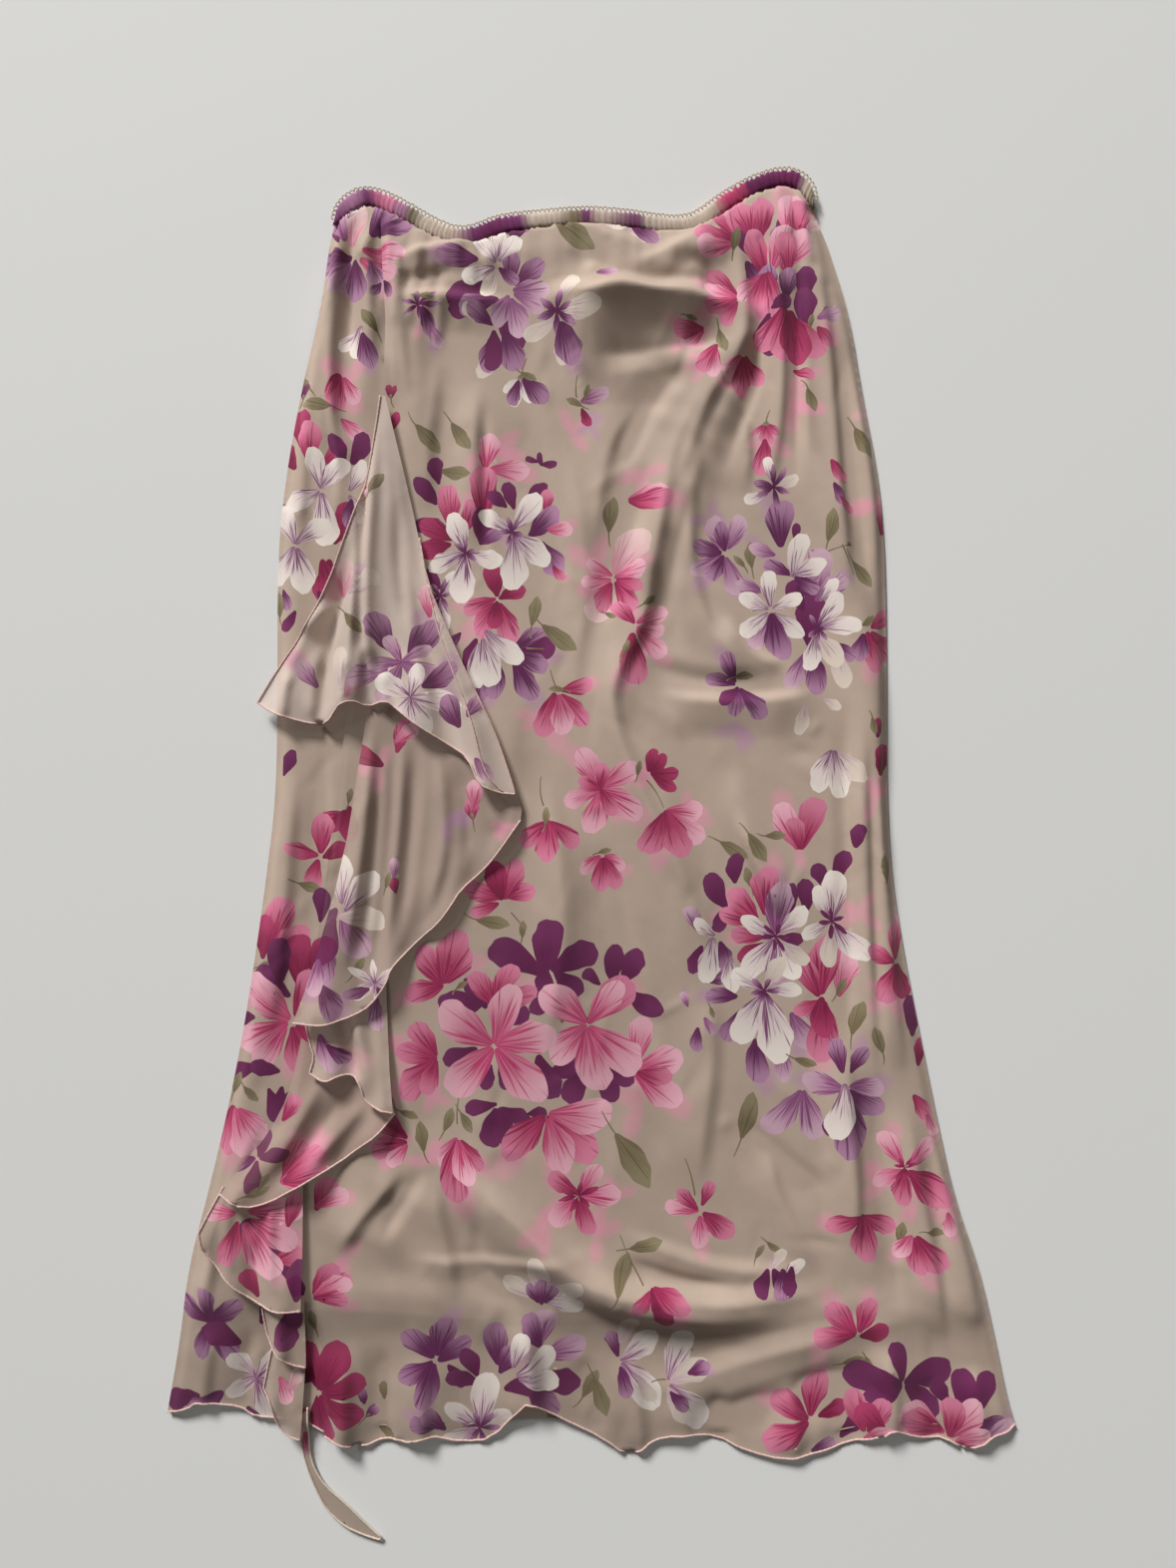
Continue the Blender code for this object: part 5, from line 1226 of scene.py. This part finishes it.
gathers = {"spacing": 6.2 * mm, "height": 1.9 * mm, "width": 2.9 * mm, "length": 52 * mm, "seed": 7,
           "first": 4 * mm, "last": 3 * mm, "middle": 0.01, "shallow": 0.06, "corner": 0.05}
wrinkles = {"count": 400, "height": 0.9 * mm, "width": 3.8 * mm, "length": 30 * mm, "seed": 21}
billows = {"count": 60, "height": 1.0 * mm, "width": 13 * mm, "length": 110 * mm, "seed": 33}


def addTable(lift, table, scale=1.0, spread=1.0):
    # spread widens the gentler side of each crease and steepens the other
    for height, leftWidth, rightWidth, *pixels in table:
        leftGentle = leftWidth > rightWidth
        leftWidth *= spread if leftGentle else 1 / spread
        rightWidth *= 1 / spread if leftGentle else spread
        path = rounded(spots(np.reshape(pixels, (-1, 2))))
        addCrease(lift, path, height * mm * scale, leftWidth * mm, rightWidth * mm, crisp=0.9)


def addGathers(lift):
    # short uneven folds that run down from the casing, deeper at the gathered corners
    draw = np.random.default_rng(gathers["seed"])
    inner = waistEdges(0, 1, 200)[1]
    length = runLength(inner)[-1]
    at = gathers["first"]
    while at < length - gathers["last"]:
        start = resample(inner, [at / length])[0]
        away = abs(start[0] - gathers["middle"])
        corner = smoothStep((away - gathers["shallow"]) / gathers["corner"])
        reach = gathers["length"] * draw.uniform(0.35, 1.2) * (0.6 + 0.7 * corner)
        lean = 0.25 * start[0] / 0.15 + draw.uniform(-0.16, 0.16)
        steps = np.linspace(-0.04, 1, 6)
        sway = draw.uniform(-0.10, 0.10)
        path = start + np.column_stack([reach * (lean * steps + sway * steps ** 2), -reach * steps])
        size = draw.uniform(0.4, 1.2) * (0.45 + 0.75 * corner)
        addCrease(lift, path, gathers["height"] * size, gathers["width"] * draw.uniform(0.7, 1.4),
                  gathers["width"] * draw.uniform(0.7, 1.4), 0.16, crisp=0.5)
        at += gathers["spacing"] * draw.uniform(0.6, 1.5)


def addWrinkles(lift, low, high, count, seedShift=0, kind=wrinkles, crisp=0.7):
    # soft wrinkles that mostly run down the cloth
    draw = np.random.default_rng(kind["seed"] + seedShift)
    for _ in range(count):
        at = draw.uniform(low, high)
        angle = -math.pi / 2 + 0.9 * at[0] / 0.25 * 0.5 + draw.normal(0, 0.5)
        length = kind["length"] * draw.uniform(0.5, 1.8)
        bend = draw.uniform(-0.35, 0.35)
        steps = np.linspace(-0.5, 0.5, 6)
        path = np.column_stack([steps * length, bend * length * steps ** 2])
        height = kind["height"] * draw.uniform(-1, 1.1)
        leftWidth = kind["width"] * draw.uniform(0.6, 1.5)
        rightWidth = kind["width"] * draw.uniform(0.6, 1.5)
        addCrease(lift, turned(path, angle) + at, height, leftWidth, rightWidth, 0.5, crisp)


# The panels

sheets = {}
clothSteps = {"back": 4.5 * mm, "lining": 6 * mm, "front": 2.3 * mm, "ruffle": 2.2 * mm, "edge": 2.0 * mm}
printSeeds = {"back": 9000, "front": 400, "tail": 700, "falls": 1000, "perFall": 50}
skirtLow, skirtHigh = (-0.25, -0.37), (0.25, 0.37)  # where wrinkles are scattered
frontFolds = {"scale": 1.35, "spread": 1.6}
ruffleFolds = {"scale": 1.45, "wrinkles": 4, "wrinklesPerArea": 260}
backFolds = {"wrinkles": 110, "seedShift": 9, "depth": 0.6}
sideSeam = {"reach": 7 * mm, "level": 1.9 * mm}  # the front meets the back near its side seams
paintedShade = {
    # painted shade: how much darker the front is painted low down, where the light falls off, and below the
    # lining's hem, where the shade under the sheer cloth shows through, and where that starts and ends
    "low": 0.11, "lowFrom": 60 * mm, "lowOver": 150 * mm,
    "right": 150 * mm, "rightOver": 110 * mm, "rightKeeps": 0.35,
    "belowLining": 0.15, "hemAt": 0.5 * mm, "hemOver": 2.5 * mm,
    "hemRight": 130 * mm, "hemRightOver": 90 * mm,
}


def paintedShadeFactor(plan):
    # painted shade on the front: how much its colour is darkened lower down, where the light falls off, and
    # below the lining's hem
    hem = rounded(hems["lining"])
    x, y = plan[:, 0], plan[:, 1]
    below = smoothStep((np.interp(x, hem[:, 0], hem[:, 1]) - paintedShade["hemAt"] - y) / paintedShade["hemOver"])
    below = below * smoothStep((paintedShade["hemRight"] - x) / paintedShade["hemRightOver"])
    low = smoothStep((paintedShade["lowFrom"] - y) / paintedShade["lowOver"])
    keep = paintedShade["rightKeeps"]
    low = low * (keep + (1 - keep) * smoothStep((paintedShade["right"] - x) / paintedShade["rightOver"]))
    return (1 - paintedShade["low"] * low) * (1 - paintedShade["belowLining"] * below)


def layCloth(name, node, outline, spacing, lift, material, drawn=((), ()), tint=ground, down=None,
             slot="printed_chiffon"):
    heights = layHeights(node, lift, reach=1 if slot == "ruffle_chiffon" else 2)
    if down is not None:
        heights = np.where(down < 1, heights * down + sideSeam["level"] * (1 - down), heights)
    shapes, halos = drawn
    low, high = outline.min(axis=0), outline.max(axis=0)
    shapes = [one for one in shapes
              if (one["outline"].max(axis=0) > low).all() and (one["outline"].min(axis=0) < high).all()]
    plan, triangles = cutCloth(outline, spacing, shapes)
    paint = dyed(plan, triangles, shapes, halos, tint)
    # the front's colours take the painted shade, darker low down and below the lining's hem
    if node.startswith("front"):
        paint = (paint[0] * paintedShadeFactor(plan)[triangles.reshape(-1)][:, None], *paint[1:])
    piece = addCloth(name, plan, triangles, sample(heights, plan), paint, material)
    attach(piece, "root")
    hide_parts(node)
    sheets[name] = {"piece": piece, "heights": heights}
    area = sum(face.area for face in piece.data.polygons)
    print(f"{name} laid, {len(triangles)} triangles, {area:.4f} square metres")


share = waist["seamShare"]
wholeTop, sideTop, mainTop = clothTop(0, 1), clothTop(0, share), clothTop(share, 1)
leftSeam = seamFrom(sideTop[0], seams["left"])
rightSeam = seamFrom(mainTop[-1], seams["right"])
goreSeam = seamFrom(mainTop[0], seams["gore"])


def panelOutline(top, right, hem, left):
    parts = (top, right, hem[::-1], left[::-1])
    return closedOutline(*(everyStep(part, clothSteps["edge"]) for part in parts))


# how much of its height the front keeps near the side seams, where it joins the back
sideFall = np.ones(rasterShape)
for seam in (leftSeam, rightSeam):
    part, away = awayFrom(seam, sideSeam["reach"] + 2 * mm)[:2]
    sideFall[part] = np.minimum(sideFall[part], smoothStep(away / sideSeam["reach"]))

backHem = rounded(hems["back"])
sideHem = rounded(hems["side"], 1)
mainHem = rounded(hems["main"], 1)

# the hidden back: every other row of the front's print, mirrored and moved down
backLayout = {"mirror": 1180, "down": 150, "last": 1290, "up": 1060}
backPrint = tuple((backLayout["mirror"] - x,
                   y + backLayout["down"] if y < backLayout["last"] else y - backLayout["up"],
                   size, 180 - angle, *kind)
                  for x, y, size, angle, *kind in frontPrint[::2])
none = np.zeros(rasterShape)
backLift = np.zeros(rasterShape)
addWrinkles(backLift, skirtLow, skirtHigh, backFolds["wrinkles"], backFolds["seedShift"])
layCloth("back_cloth", "back_panel", panelOutline(wholeTop, rightSeam, backHem, leftSeam),
         clothSteps["back"], backLift * backFolds["depth"], backChiffon,
         drawPrint(backPrint, printSeeds["back"]))

lining = {"tone": dye(164, 150, 136), "drop": 8.8 * mm, "inset": 9.2 * mm, "corner": 9 * mm,
          "top": 372 * mm, "leftEnd": -280 * mm, "rightEnd": -285 * mm}


def liningOutline():
    top = resample(waistEdges(0, 1, 120)[1], np.linspace(0, 1, 60)) - (0, lining["drop"])
    top[0, 0] += lining["corner"]
    top[-1, 0] -= lining["corner"]
    left = rounded(seams["left"])
    right = rounded(seams["right"])
    left = left[(left[:, 1] > lining["leftEnd"]) & (left[:, 1] < lining["top"])]
    right = right[(right[:, 1] > lining["rightEnd"]) & (right[:, 1] < lining["top"])]
    left = left + (lining["inset"], 0)
    right = right - (lining["inset"], 0)
    hem = rounded(hems["lining"])[1:-1]
    return top, np.vstack([top[-1:], right, hem[-1:]]), hem, np.vstack([top[:1], left, hem[:1]])


liningEdges = liningOutline()
for name, node in (("lining_back_cloth", "lining_back"), ("lining_front_cloth", "lining_front")):
    top, right, hem, left = liningEdges
    layCloth(name, node, panelOutline(top, right, hem, left), clothSteps["lining"], none, plainLining,
             tint=lining["tone"], slot="lining")

frontLift = np.zeros(rasterShape)
addTable(frontLift, frontCreases, **frontFolds)
addGathers(frontLift)
addWrinkles(frontLift, skirtLow, skirtHigh, wrinkles["count"])
addWrinkles(frontLift, skirtLow, skirtHigh, billows["count"], kind=billows, crisp=0.0)
frontDrawn = drawPrint(frontPrint, printSeeds["front"])
for name, node, outline in (
        ("side_gore_cloth", "front_side_gore", panelOutline(sideTop, goreSeam, sideHem, leftSeam)),
        ("main_gore_cloth", "front_main_gore", panelOutline(mainTop, rightSeam, mainHem, goreSeam))):
    layCloth(name, node, outline, clothSteps["front"], frontLift, frontChiffon, frontDrawn, down=sideFall)

# The ruffle, one cloth for each fall, listed from the hem up as they lie on each other

tail = {
    "left": rows((-184, -345), (-181, -367), (-177, -384), (-171, -399), (-164, -412), (-153, -422),
                 (-142, -427), (-131, -430.5)),
    "right": rows((-175, -345), (-175, -362), (-175, -375), (-172, -386), (-165, -397), (-152, -408),
                  (-141, -419), (-130, -429)),
}
falls = {
    "ruffle_fall_7": {
        "top": rows((-197, -308), (-186, -314), (-176, -314)),
        "left": rows((-197, -308), (-200, -322), (-202, -332)),
        "right": rows((-176, -314), (-177, -337), (-179, -364)),
        "hem": rows((-202, -332), (-197, -340), (-193, -355), (-187, -362), (-179, -364)),
        "print": ((280, 1380, 14, -60, "pink"), (290, 1395, 12, 60, "blush"))},
    "ruffle_fall_6": {
        "top": rows((-203, -273), (-189, -275), (-176, -273)),
        "left": rows((-203, -273), (-201, -288), (-199, -297)),
        "right": rows((-176, -273), (-175, -318)),
        "hem": rows((-199, -297), (-193, -308), (-184, -316), (-175, -318)),
        "print": ((292, 1310, 20, -100, "purple"), (285, 1340, 16, 60, "purple"))},
    "ruffle_fall_5": {
        "top": rows((-226, -206), (-211, -205), (-192, -202), (-177, -199)),
        "left": rows((-226, -206), (-234, -221), (-240, -233)),
        "right": rows((-177, -199), (-177, -244), (-177, -281)),
        "hem": rows((-240, -233), (-238, -243), (-233, -250), (-221, -264), (-207, -275),
                    (-194, -280), (-177, -281)),
        "print": (
            (236, 1240, 15, 40, "purple"), (262, 1240, 15, -20, "purple"), (296, 1282, 26, 106, "purple"),
            (276, 1262, 16, 20, "rose"), (250, 1214, 27, 8, "pink"), (252, 1222, 26, -24, "pink"),
            (246, 1224, 30, -66, "pink"), (240, 1222, 22, -104, "rose"), (238, 1214, 18, 176, "pink"),
            (290, 1228, 18, 80, "rose"), (300, 1300, 20, 84, "purple"), (262, 1296, 15, 120, "magenta"))},
    "ruffle_fall_4": {
        "top": rows((-178, -114), (-161, -126), (-139, -136), (-123, -149)),
        "left": rows((-178, -114), (-185, -148), (-198, -173), (-211, -188), (-226, -208)),
        "right": rows((-123, -149), (-120, -161)),
        "hem": rows((-226, -208), (-212, -217), (-197, -215), (-179, -204), (-155, -192),
                    (-142, -182), (-131, -174), (-120, -161)),
        "print": (
            (312, 1152, 16, 0, "pink", "halo"), (286, 1178, 20, 62, "rose"), (284, 1180, 26, 32, "rose"),
            (283, 1182, 28, 12, "pink"), (286, 1182, 22, 24, "rose"), (262, 1157, 14, 72, "purple"),
            (263, 1158, 15, 14, "purple"), (261, 1160, 16, -96, "purple"), (259, 1158, 13, 196, "violet"),
            (285, 1122, 15, 60, "rose"), (262, 1192, 13, 10, "leaf"), (268, 1180, 10, 60, "leaf"))},
    "ruffle_fall_3": {
        "top": rows((-178, -92), (-161, -92), (-144, -87), (-126, -75)),
        "left": rows((-178, -92), (-172, -117), (-169, -125), (-172, -135)),
        "right": rows((-126, -75), (-124, -125), (-120, -159)),
        "hem": rows((-172, -135), (-162, -140), (-154, -136), (-145, -136), (-140, -142),
                    (-138, -151), (-130, -156), (-120, -159)),
        "print": ((322, 1035, 20, -70, "lilac"), (378, 1000, 16, -100, "lilac"),
                  (330, 1045, 14, -40, "violet"), (355, 1050, 16, 0, "blush", "halo"))},
    "ruffle_fall_2": {
        "top": rows((-135, 103), (-118, 97), (-93, 79), (-69, 64), (-48, 44)),
        "left": rows((-135, 103), (-144, 42), (-151, 0), (-172, -78), (-181, -103)),
        "right": rows((-48, 44), (-41, 30), (-42, 21)),
        "hem": rows((-181, -103), (-160, -104), (-144, -99), (-134, -93), (-124, -79), (-122, -71),
                    (-115, -63), (-105, -53), (-93, -43), (-85, -32), (-79, -22), (-65, -10),
                    (-55, 2), (-42, 21)),
        "print": (
            (398, 755, 18, 80, "rose"), (385, 768, 16, 150, "magenta"), (395, 745, 14, 40, "pink"),
            (380, 770, 14, 0, "pink", "halo"), (450, 820, 14, 0, "lilac", "halo"),
            (474, 822, 12, 95, "rose", "bud"), (474, 810, 14, 80, "pink"),
            (508, 826, 10, 0, "pink", "halo"), (340, 910, 24, 230, "violet"),
            (345, 915, 24, -70, "lilac"), (330, 940, 22, -95, "violet"), (345, 905, 24, 95, "white"),
            (348, 912, 24, 50, "white"), (342, 918, 22, 0, "cream"), (335, 905, 20, 140, "cream"),
            (338, 920, 24, -110, "purple"), (325, 985, 18, -60, "violet"), (322, 960, 18, -100, "lilac"),
            (360, 968, 12, 60, "leaf"), (378, 985, 16, 40, "white", "star"),
            (380, 988, 14, -60, "violet"), (372, 990, 13, 200, "violet"), (398, 895, 8, 100, "magenta"),
            (396, 880, 10, 90, "lilac"), (390, 882, 10, 70, "leaf"))},
    "ruffle_fall_1": {
        "top": rows((-128.5, 283), (-125.5, 283)),
        "left": rows((-128.5, 283), (-131.5, 262), (-134.5, 240), (-138, 225), (-148, 199), (-161, 165),
                     (-177, 134), (-192, 115), (-206, 94)),
        "right": rows((-125.5, 283), (-112, 227), (-99, 166), (-81, 124), (-69, 99), (-58, 76),
                      (-50, 53), (-45, 37)),
        "hem": rows((-206, 94), (-196, 88), (-185, 84), (-173, 81), (-162, 80), (-154, 91),
                    (-145, 95), (-137, 91), (-125, 95), (-117, 89), (-105, 79), (-87, 68),
                    (-74, 60), (-67, 43), (-56, 38), (-45, 37)),
        "print": (
            (378, 487, 14, 60, "leaf"), (364, 502, 10, 0, "pink", "halo"),
            (285, 660, 16, 0, "pink", "halo"), (350, 590, 16, 0, "lilac", "halo"),
            (345, 600, 20, 80, "blush"), (352, 598, 18, 40, "cream"), (356, 626, 15, -50, "leaf"),
            (320, 690, 16, 130, "lilac"), (345, 690, 20, 95, "cream"), (350, 700, 16, 60, "blush"),
            (432, 620, 16, 100, "pink"), (442, 640, 16, 80, "cream"), (395, 655, 22, 120, "violet"),
            (412, 660, 22, 60, "violet"), (390, 672, 20, 190, "lilac"),
            (404, 665, 22, 30, "lilac", "blossom"), (425, 690, 20, 30, "violet"),
            (414, 700, 23, 80, "white", "blossom"), (400, 712, 18, 220, "violet"),
            (462, 730, 18, 120, "violet"), (470, 720, 16, 60, "lilac"), (478, 760, 14, -60, "lilac"))},
}
tailPrint = ((300, 1450, 10, 0, "pink", "halo"), (303, 1440, 12, -70, "rose"),
             (300, 1420, 12, 60, "magenta"))

ruffleLift = np.zeros(rasterShape)
addTable(ruffleLift, ruffleCreases, ruffleFolds["scale"])
ruffleGround = dye(156, 138, 125)
# painted light and shade: the upper falls' grounds are painted lighter or darker, fall by fall
ruffleLitAndShadedGrounds = {"1": dye(188, 171, 160), "2": dye(158, 139, 127), "3": dye(168, 150, 137),
                 "4": dye(160, 138, 126)}
tailEdges = (rounded(tail["left"], 1), rounded(tail["right"], 1)[::-1])
tailOutline = closedOutline(*(everyStep(part, clothSteps["edge"]) for part in tailEdges))
layCloth("ruffle_tail_cloth", "ruffle_tail", np.vstack([tailOutline, tailEdges[1][-1:]]),
         clothSteps["ruffle"], none, ruffleChiffon, drawPrint(tailPrint, printSeeds["tail"]),
         ruffleGround, slot="ruffle_chiffon")
for name, fall in falls.items():
    outline = panelOutline(*(rounded(fall[edge], 1) for edge in ("top", "right", "hem", "left")))
    lift = ruffleLift.copy()
    low, high = outline.min(axis=0), outline.max(axis=0)
    number = int(name[-1])
    count = int(ruffleFolds["wrinkles"] + ruffleFolds["wrinklesPerArea"] * (high - low).prod())
    addWrinkles(lift, low, high, count, seedShift=len(name) + number)
    drawn = drawPrint(fall["print"], printSeeds["falls"] + printSeeds["perFall"] * number)
    layCloth(name + "_cloth", name, outline, clothSteps["ruffle"], lift, ruffleChiffon, drawn,
             ruffleLitAndShadedGrounds.get(name[-1], ruffleGround), slot="ruffle_chiffon")

# Rolled overlock edges

overlock = {"radius": 0.62 * mm, "step": 1.5 * mm, "ripple": 0.14, "sink": 0.2 * mm}
threadTones = {"pink": dye(186, 158, 150), "cream": dye(192, 178, 160), "gold": dye(178, 158, 128)}


def addOverlock(name, sheet, path, tone, slot, radius=overlock["radius"], sink=overlock["sink"]):
    path = everyStep(path, overlock["step"])
    height = sample(sheets[sheet]["heights"], path) + radius - sink
    rings = cordRings(np.column_stack([path, height]), radius, 6, overlock["ripple"])
    count = len(path)
    tones = np.tile(threadTones[tone], (count, 1)) * (1 + 0.06 * np.sin(np.arange(count) * 1.9))[:, None]
    cord = ringMesh(name, rings, threadMaterial, tones)
    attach(cord, "root")
    return cord


hemCords = {}
for name, cloth, path, tone, slot, *fitted in (
        ("back_hem_overlock", "back_cloth", backHem, "cream", "printed_chiffon", 0.35 * mm, 1.0 * mm),
        ("side_hem_overlock", "side_gore_cloth", sideHem, "pink", "printed_chiffon"),
        ("main_hem_overlock", "main_gore_cloth", mainHem, "pink", "printed_chiffon"),
        ("ruffle_tail_overlock", "ruffle_tail_cloth", np.vstack(tailEdges), "cream", "ruffle_chiffon")):
    hemCords[cloth] = [addOverlock(name, cloth, path, tone, slot, *fitted)]
for name, fall in falls.items():
    # a fall that turns under on its left shows no sewn edge there, nor does the first high on its right
    path = rounded(fall["hem"], 1)
    if name not in ("ruffle_fall_2", "ruffle_fall_4"):
        path = np.vstack([rounded(fall["left"], 1), path[1:]])
    if name == "ruffle_fall_1":
        path = np.vstack([path, rounded(fall["right"][2:], 1)[::-1][1:]])
    cloth = name + "_cloth"
    hemCords[cloth] = [addOverlock(name + "_overlock", cloth, path, "pink", "ruffle_chiffon")]
turnedEdge = rounded(spots(((421, 540), (430, 590), (440, 632), (456, 676), (474, 720), (487, 776),
                            (505, 794))))
hemCords["ruffle_fall_1_cloth"].append(
    addOverlock("ruffle_turn_overlock", "ruffle_fall_1_cloth", turnedEdge, "pink", "ruffle_chiffon",
                0.5 * mm))
print("edges overlocked")

# The ruched casing and its picot trim

casing = {
    # columns: cloth, node, underside, depth, height of its ridges, seeds of its ridges and tones
    "sides": (("casing_front_cloth", "casing_front", 2.9 * mm, 3.6 * mm, 0.30 * mm, 5, 11),
              ("casing_back_cloth", "casing_back", 0.1 * mm, 2.5 * mm, 0.15 * mm, 6, 12)),
    "step": 0.9 * mm, "around": 12, "waves": (0.8, 2.9), "skew": 2.2, "rough": 0.6, "endRings": 5,
    "flat": 0.8, "ownDye": 0.12,
    # columns: photo x, dye of the print as it shows on the ruched casing
    "dyes": ((333, "violet"), (352, "lilac"), (368, "violet"), (385, "pink"), (402, "lilac"),
             (412, "moss"), (424, "cream"), (448, "cream"), (474, "violet"), (490, "purple"),
             (520, "violet"), (534, "cream"), (560, "cream"), (576, "olive"), (588, "violet"), (600, "cream"),
             (638, "violet"), (650, "cream"), (715, "cream"), (728, "rose"), (742, "rose"),
             (752, "purple"), (785, "purple"), (800, "purple"), (808, "cream"), (818, "moss")),
}


def casingRings(bottom, depth, ridge, seed):
    edges = rounded(waist["line"])
    count = int(runLength(edges[:, 2:])[-1] / casing["step"])
    outer, inner = waistEdges(0, 1, count)
    draw = np.random.default_rng(seed)
    turn = np.arange(casing["around"]) * 2 * math.pi / casing["around"]
    wave = np.cumsum(draw.uniform(*casing["waves"], count + 1))
    rings = []
    for k in range(count + 1):
        middle = (outer[k] + inner[k]) / 2
        half = (outer[k] - inner[k]) / 2
        end = smoothStep(min(k, count - k) / casing["endRings"])
        swell = np.sin(wave[k] + casing["skew"] * np.sin(turn))
        swell += casing["rough"] * draw.uniform(-1, 1, len(turn))
        grow = 1 + swell * ridge / (depth / 2) * (0.3 + 0.7 * end)
        size = 0.35 + 0.65 * end
        across = np.cos(turn) * grow
        up = np.sin(turn) * grow
        flatUp = np.sign(up) * np.abs(up) ** casing["flat"]
        points = middle + across[:, None] * half * size
        rings.append(np.column_stack([points, bottom + depth / 2 + flatUp * depth / 2 * size]))
    return rings, (outer + inner) / 2


sand = dye(172, 156, 141)


def casingTones(middles, seed):
    draw = np.random.default_rng(seed)
    x = middles[:, 0] / photo["pixelWidth"] + photo["middleX"]
    x = x + draw.normal(0, 1.2, len(x))
    stops = np.array([stop for stop, _ in casing["dyes"]], dtype=float)
    colours = np.array([sand if label == "cream" else dyes[label][0] for _, label in casing["dyes"]])
    nearest = np.abs(x[:, None] - stops[None]).argmin(axis=1)
    smooth = np.column_stack([np.interp(x, stops, colours[:, k]) for k in range(3)])
    own = casing["ownDye"]
    return (own * colours[nearest] + (1 - own) * smooth) * draw.uniform(0.94, 1.05, (len(x), 1))


for name, node, bottom, depth, ridge, seed, toneSeed in casing["sides"]:
    rings, middles = casingRings(bottom, depth, ridge, seed)
    piece = ringMesh(name, rings, casingCloth, casingTones(middles, toneSeed))
    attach(piece, "root")
    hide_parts(node)

picot = {"pitch": 2.8 * mm, "height": 2.3 * mm, "radius": 0.38 * mm, "level": 4.6 * mm, "seed": 3,
         "braid": 0.3 * mm, "twist": 0.3 * mm}


def makePicot():
    # a braid along the casing's top edge, with a loop at each pitch
    outer = waistEdges(0, 1, 400)[0]
    path = everyStep(outer, picot["pitch"])
    along = np.gradient(path, axis=0)
    out = np.column_stack([-along[:, 1], along[:, 0]])
    out /= np.linalg.norm(out, axis=1, keepdims=True)
    draw = np.random.default_rng(picot["seed"])
    rings = []
    for k in range(len(path) - 1):
        a, b = path[k], path[k + 1]
        grow = picot["height"] * draw.uniform(0.8, 1.0)
        for t in np.linspace(0, 1, 8, endpoint=False):
            bulge = math.sin(math.pi * t)
            spread = 0.5 + (t - 0.5) * (1 + 0.6 * bulge)
            point = a + (b - a) * spread + out[k] * (picot["braid"] + grow * bulge ** 0.7)
            level = picot["level"] + picot["twist"] * math.sin(2 * math.pi * t)
            rings.append((*point, level))
    loops = cordRings(np.array(rings), picot["radius"], 5)
    tones = np.tile(threadTones["gold"], (len(loops), 1))
    return ringMesh("picot_loops", loops, threadMaterial, tones)


picotLoops = makePicot()
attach(picotLoops, "root")
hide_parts("picot_trim")
print("casing ruched and trimmed")

# Stage, lamps and camera

stage = {"floorSize": 3.2, "floorColour": dye(226, 226, 224), "roughness": 0.9, "level": -0.3 * mm}


def makeFloor():
    half = stage["floorSize"] / 2
    mesh = bpy.data.meshes.new("floor")
    corners = ((-half, -half), (half, -half), (half, half), (-half, half))
    mesh.from_pydata([(x, y, stage["level"]) for x, y in corners], [], [(0, 1, 2, 3)])
    material, tree, shader = startMaterial("pale floor", stage["roughness"], 0.0)
    shader.inputs["Base Color"].default_value = (*stage["floorColour"], 1.0)
    mesh.materials.append(material)
    return addPiece("floor", mesh)


makeFloor()

sunlight = {"place": (-1.5, 3.0, 1.8), "spread": math.radians(14), "strength": 3.75}
skylight = {"place": (-0.7, 1.7, 1.3), "size": 1.2, "strength": 11.0}
room = {"Color": (1.0, 0.95, 0.90, 1.0), "Strength": 0.11}


def hangLamp(name, kind, lamp):
    # a lamp that looks at the middle of the skirt
    data = bpy.data.lights.new(name, kind)
    data.energy = lamp["strength"]
    holder = bpy.data.objects.new(name, data)
    holder.location = lamp["place"]
    holder.rotation_euler = (-Vector(lamp["place"])).to_track_quat("-Z", "Y").to_euler()
    bpy.context.scene.collection.objects.link(holder)
    return data


hangLamp("window light", "SUN", sunlight).angle = sunlight["spread"]
hangLamp("upper light", "AREA", skylight).size = skylight["size"]
world = bpy.data.worlds.new("soft room")
world.use_nodes = True
setInputs(world.node_tree.nodes["Background"], room)
bpy.context.scene.world = world
bpy.context.scene.view_settings.view_transform = "Standard"

camera = {"lens": 26.0, "sensor": 36.0, "height": 0.712, "x": -0.3 * mm, "y": 43.4 * mm}
eye = bpy.data.cameras.new("camera")
eye.lens = camera["lens"]
eye.sensor_width = camera["sensor"]
eyeHolder = bpy.data.objects.new("camera", eye)
eyeHolder.location = (camera["x"], camera["y"], camera["height"])
bpy.context.scene.collection.objects.link(eyeHolder)
bpy.context.scene.camera = eyeHolder
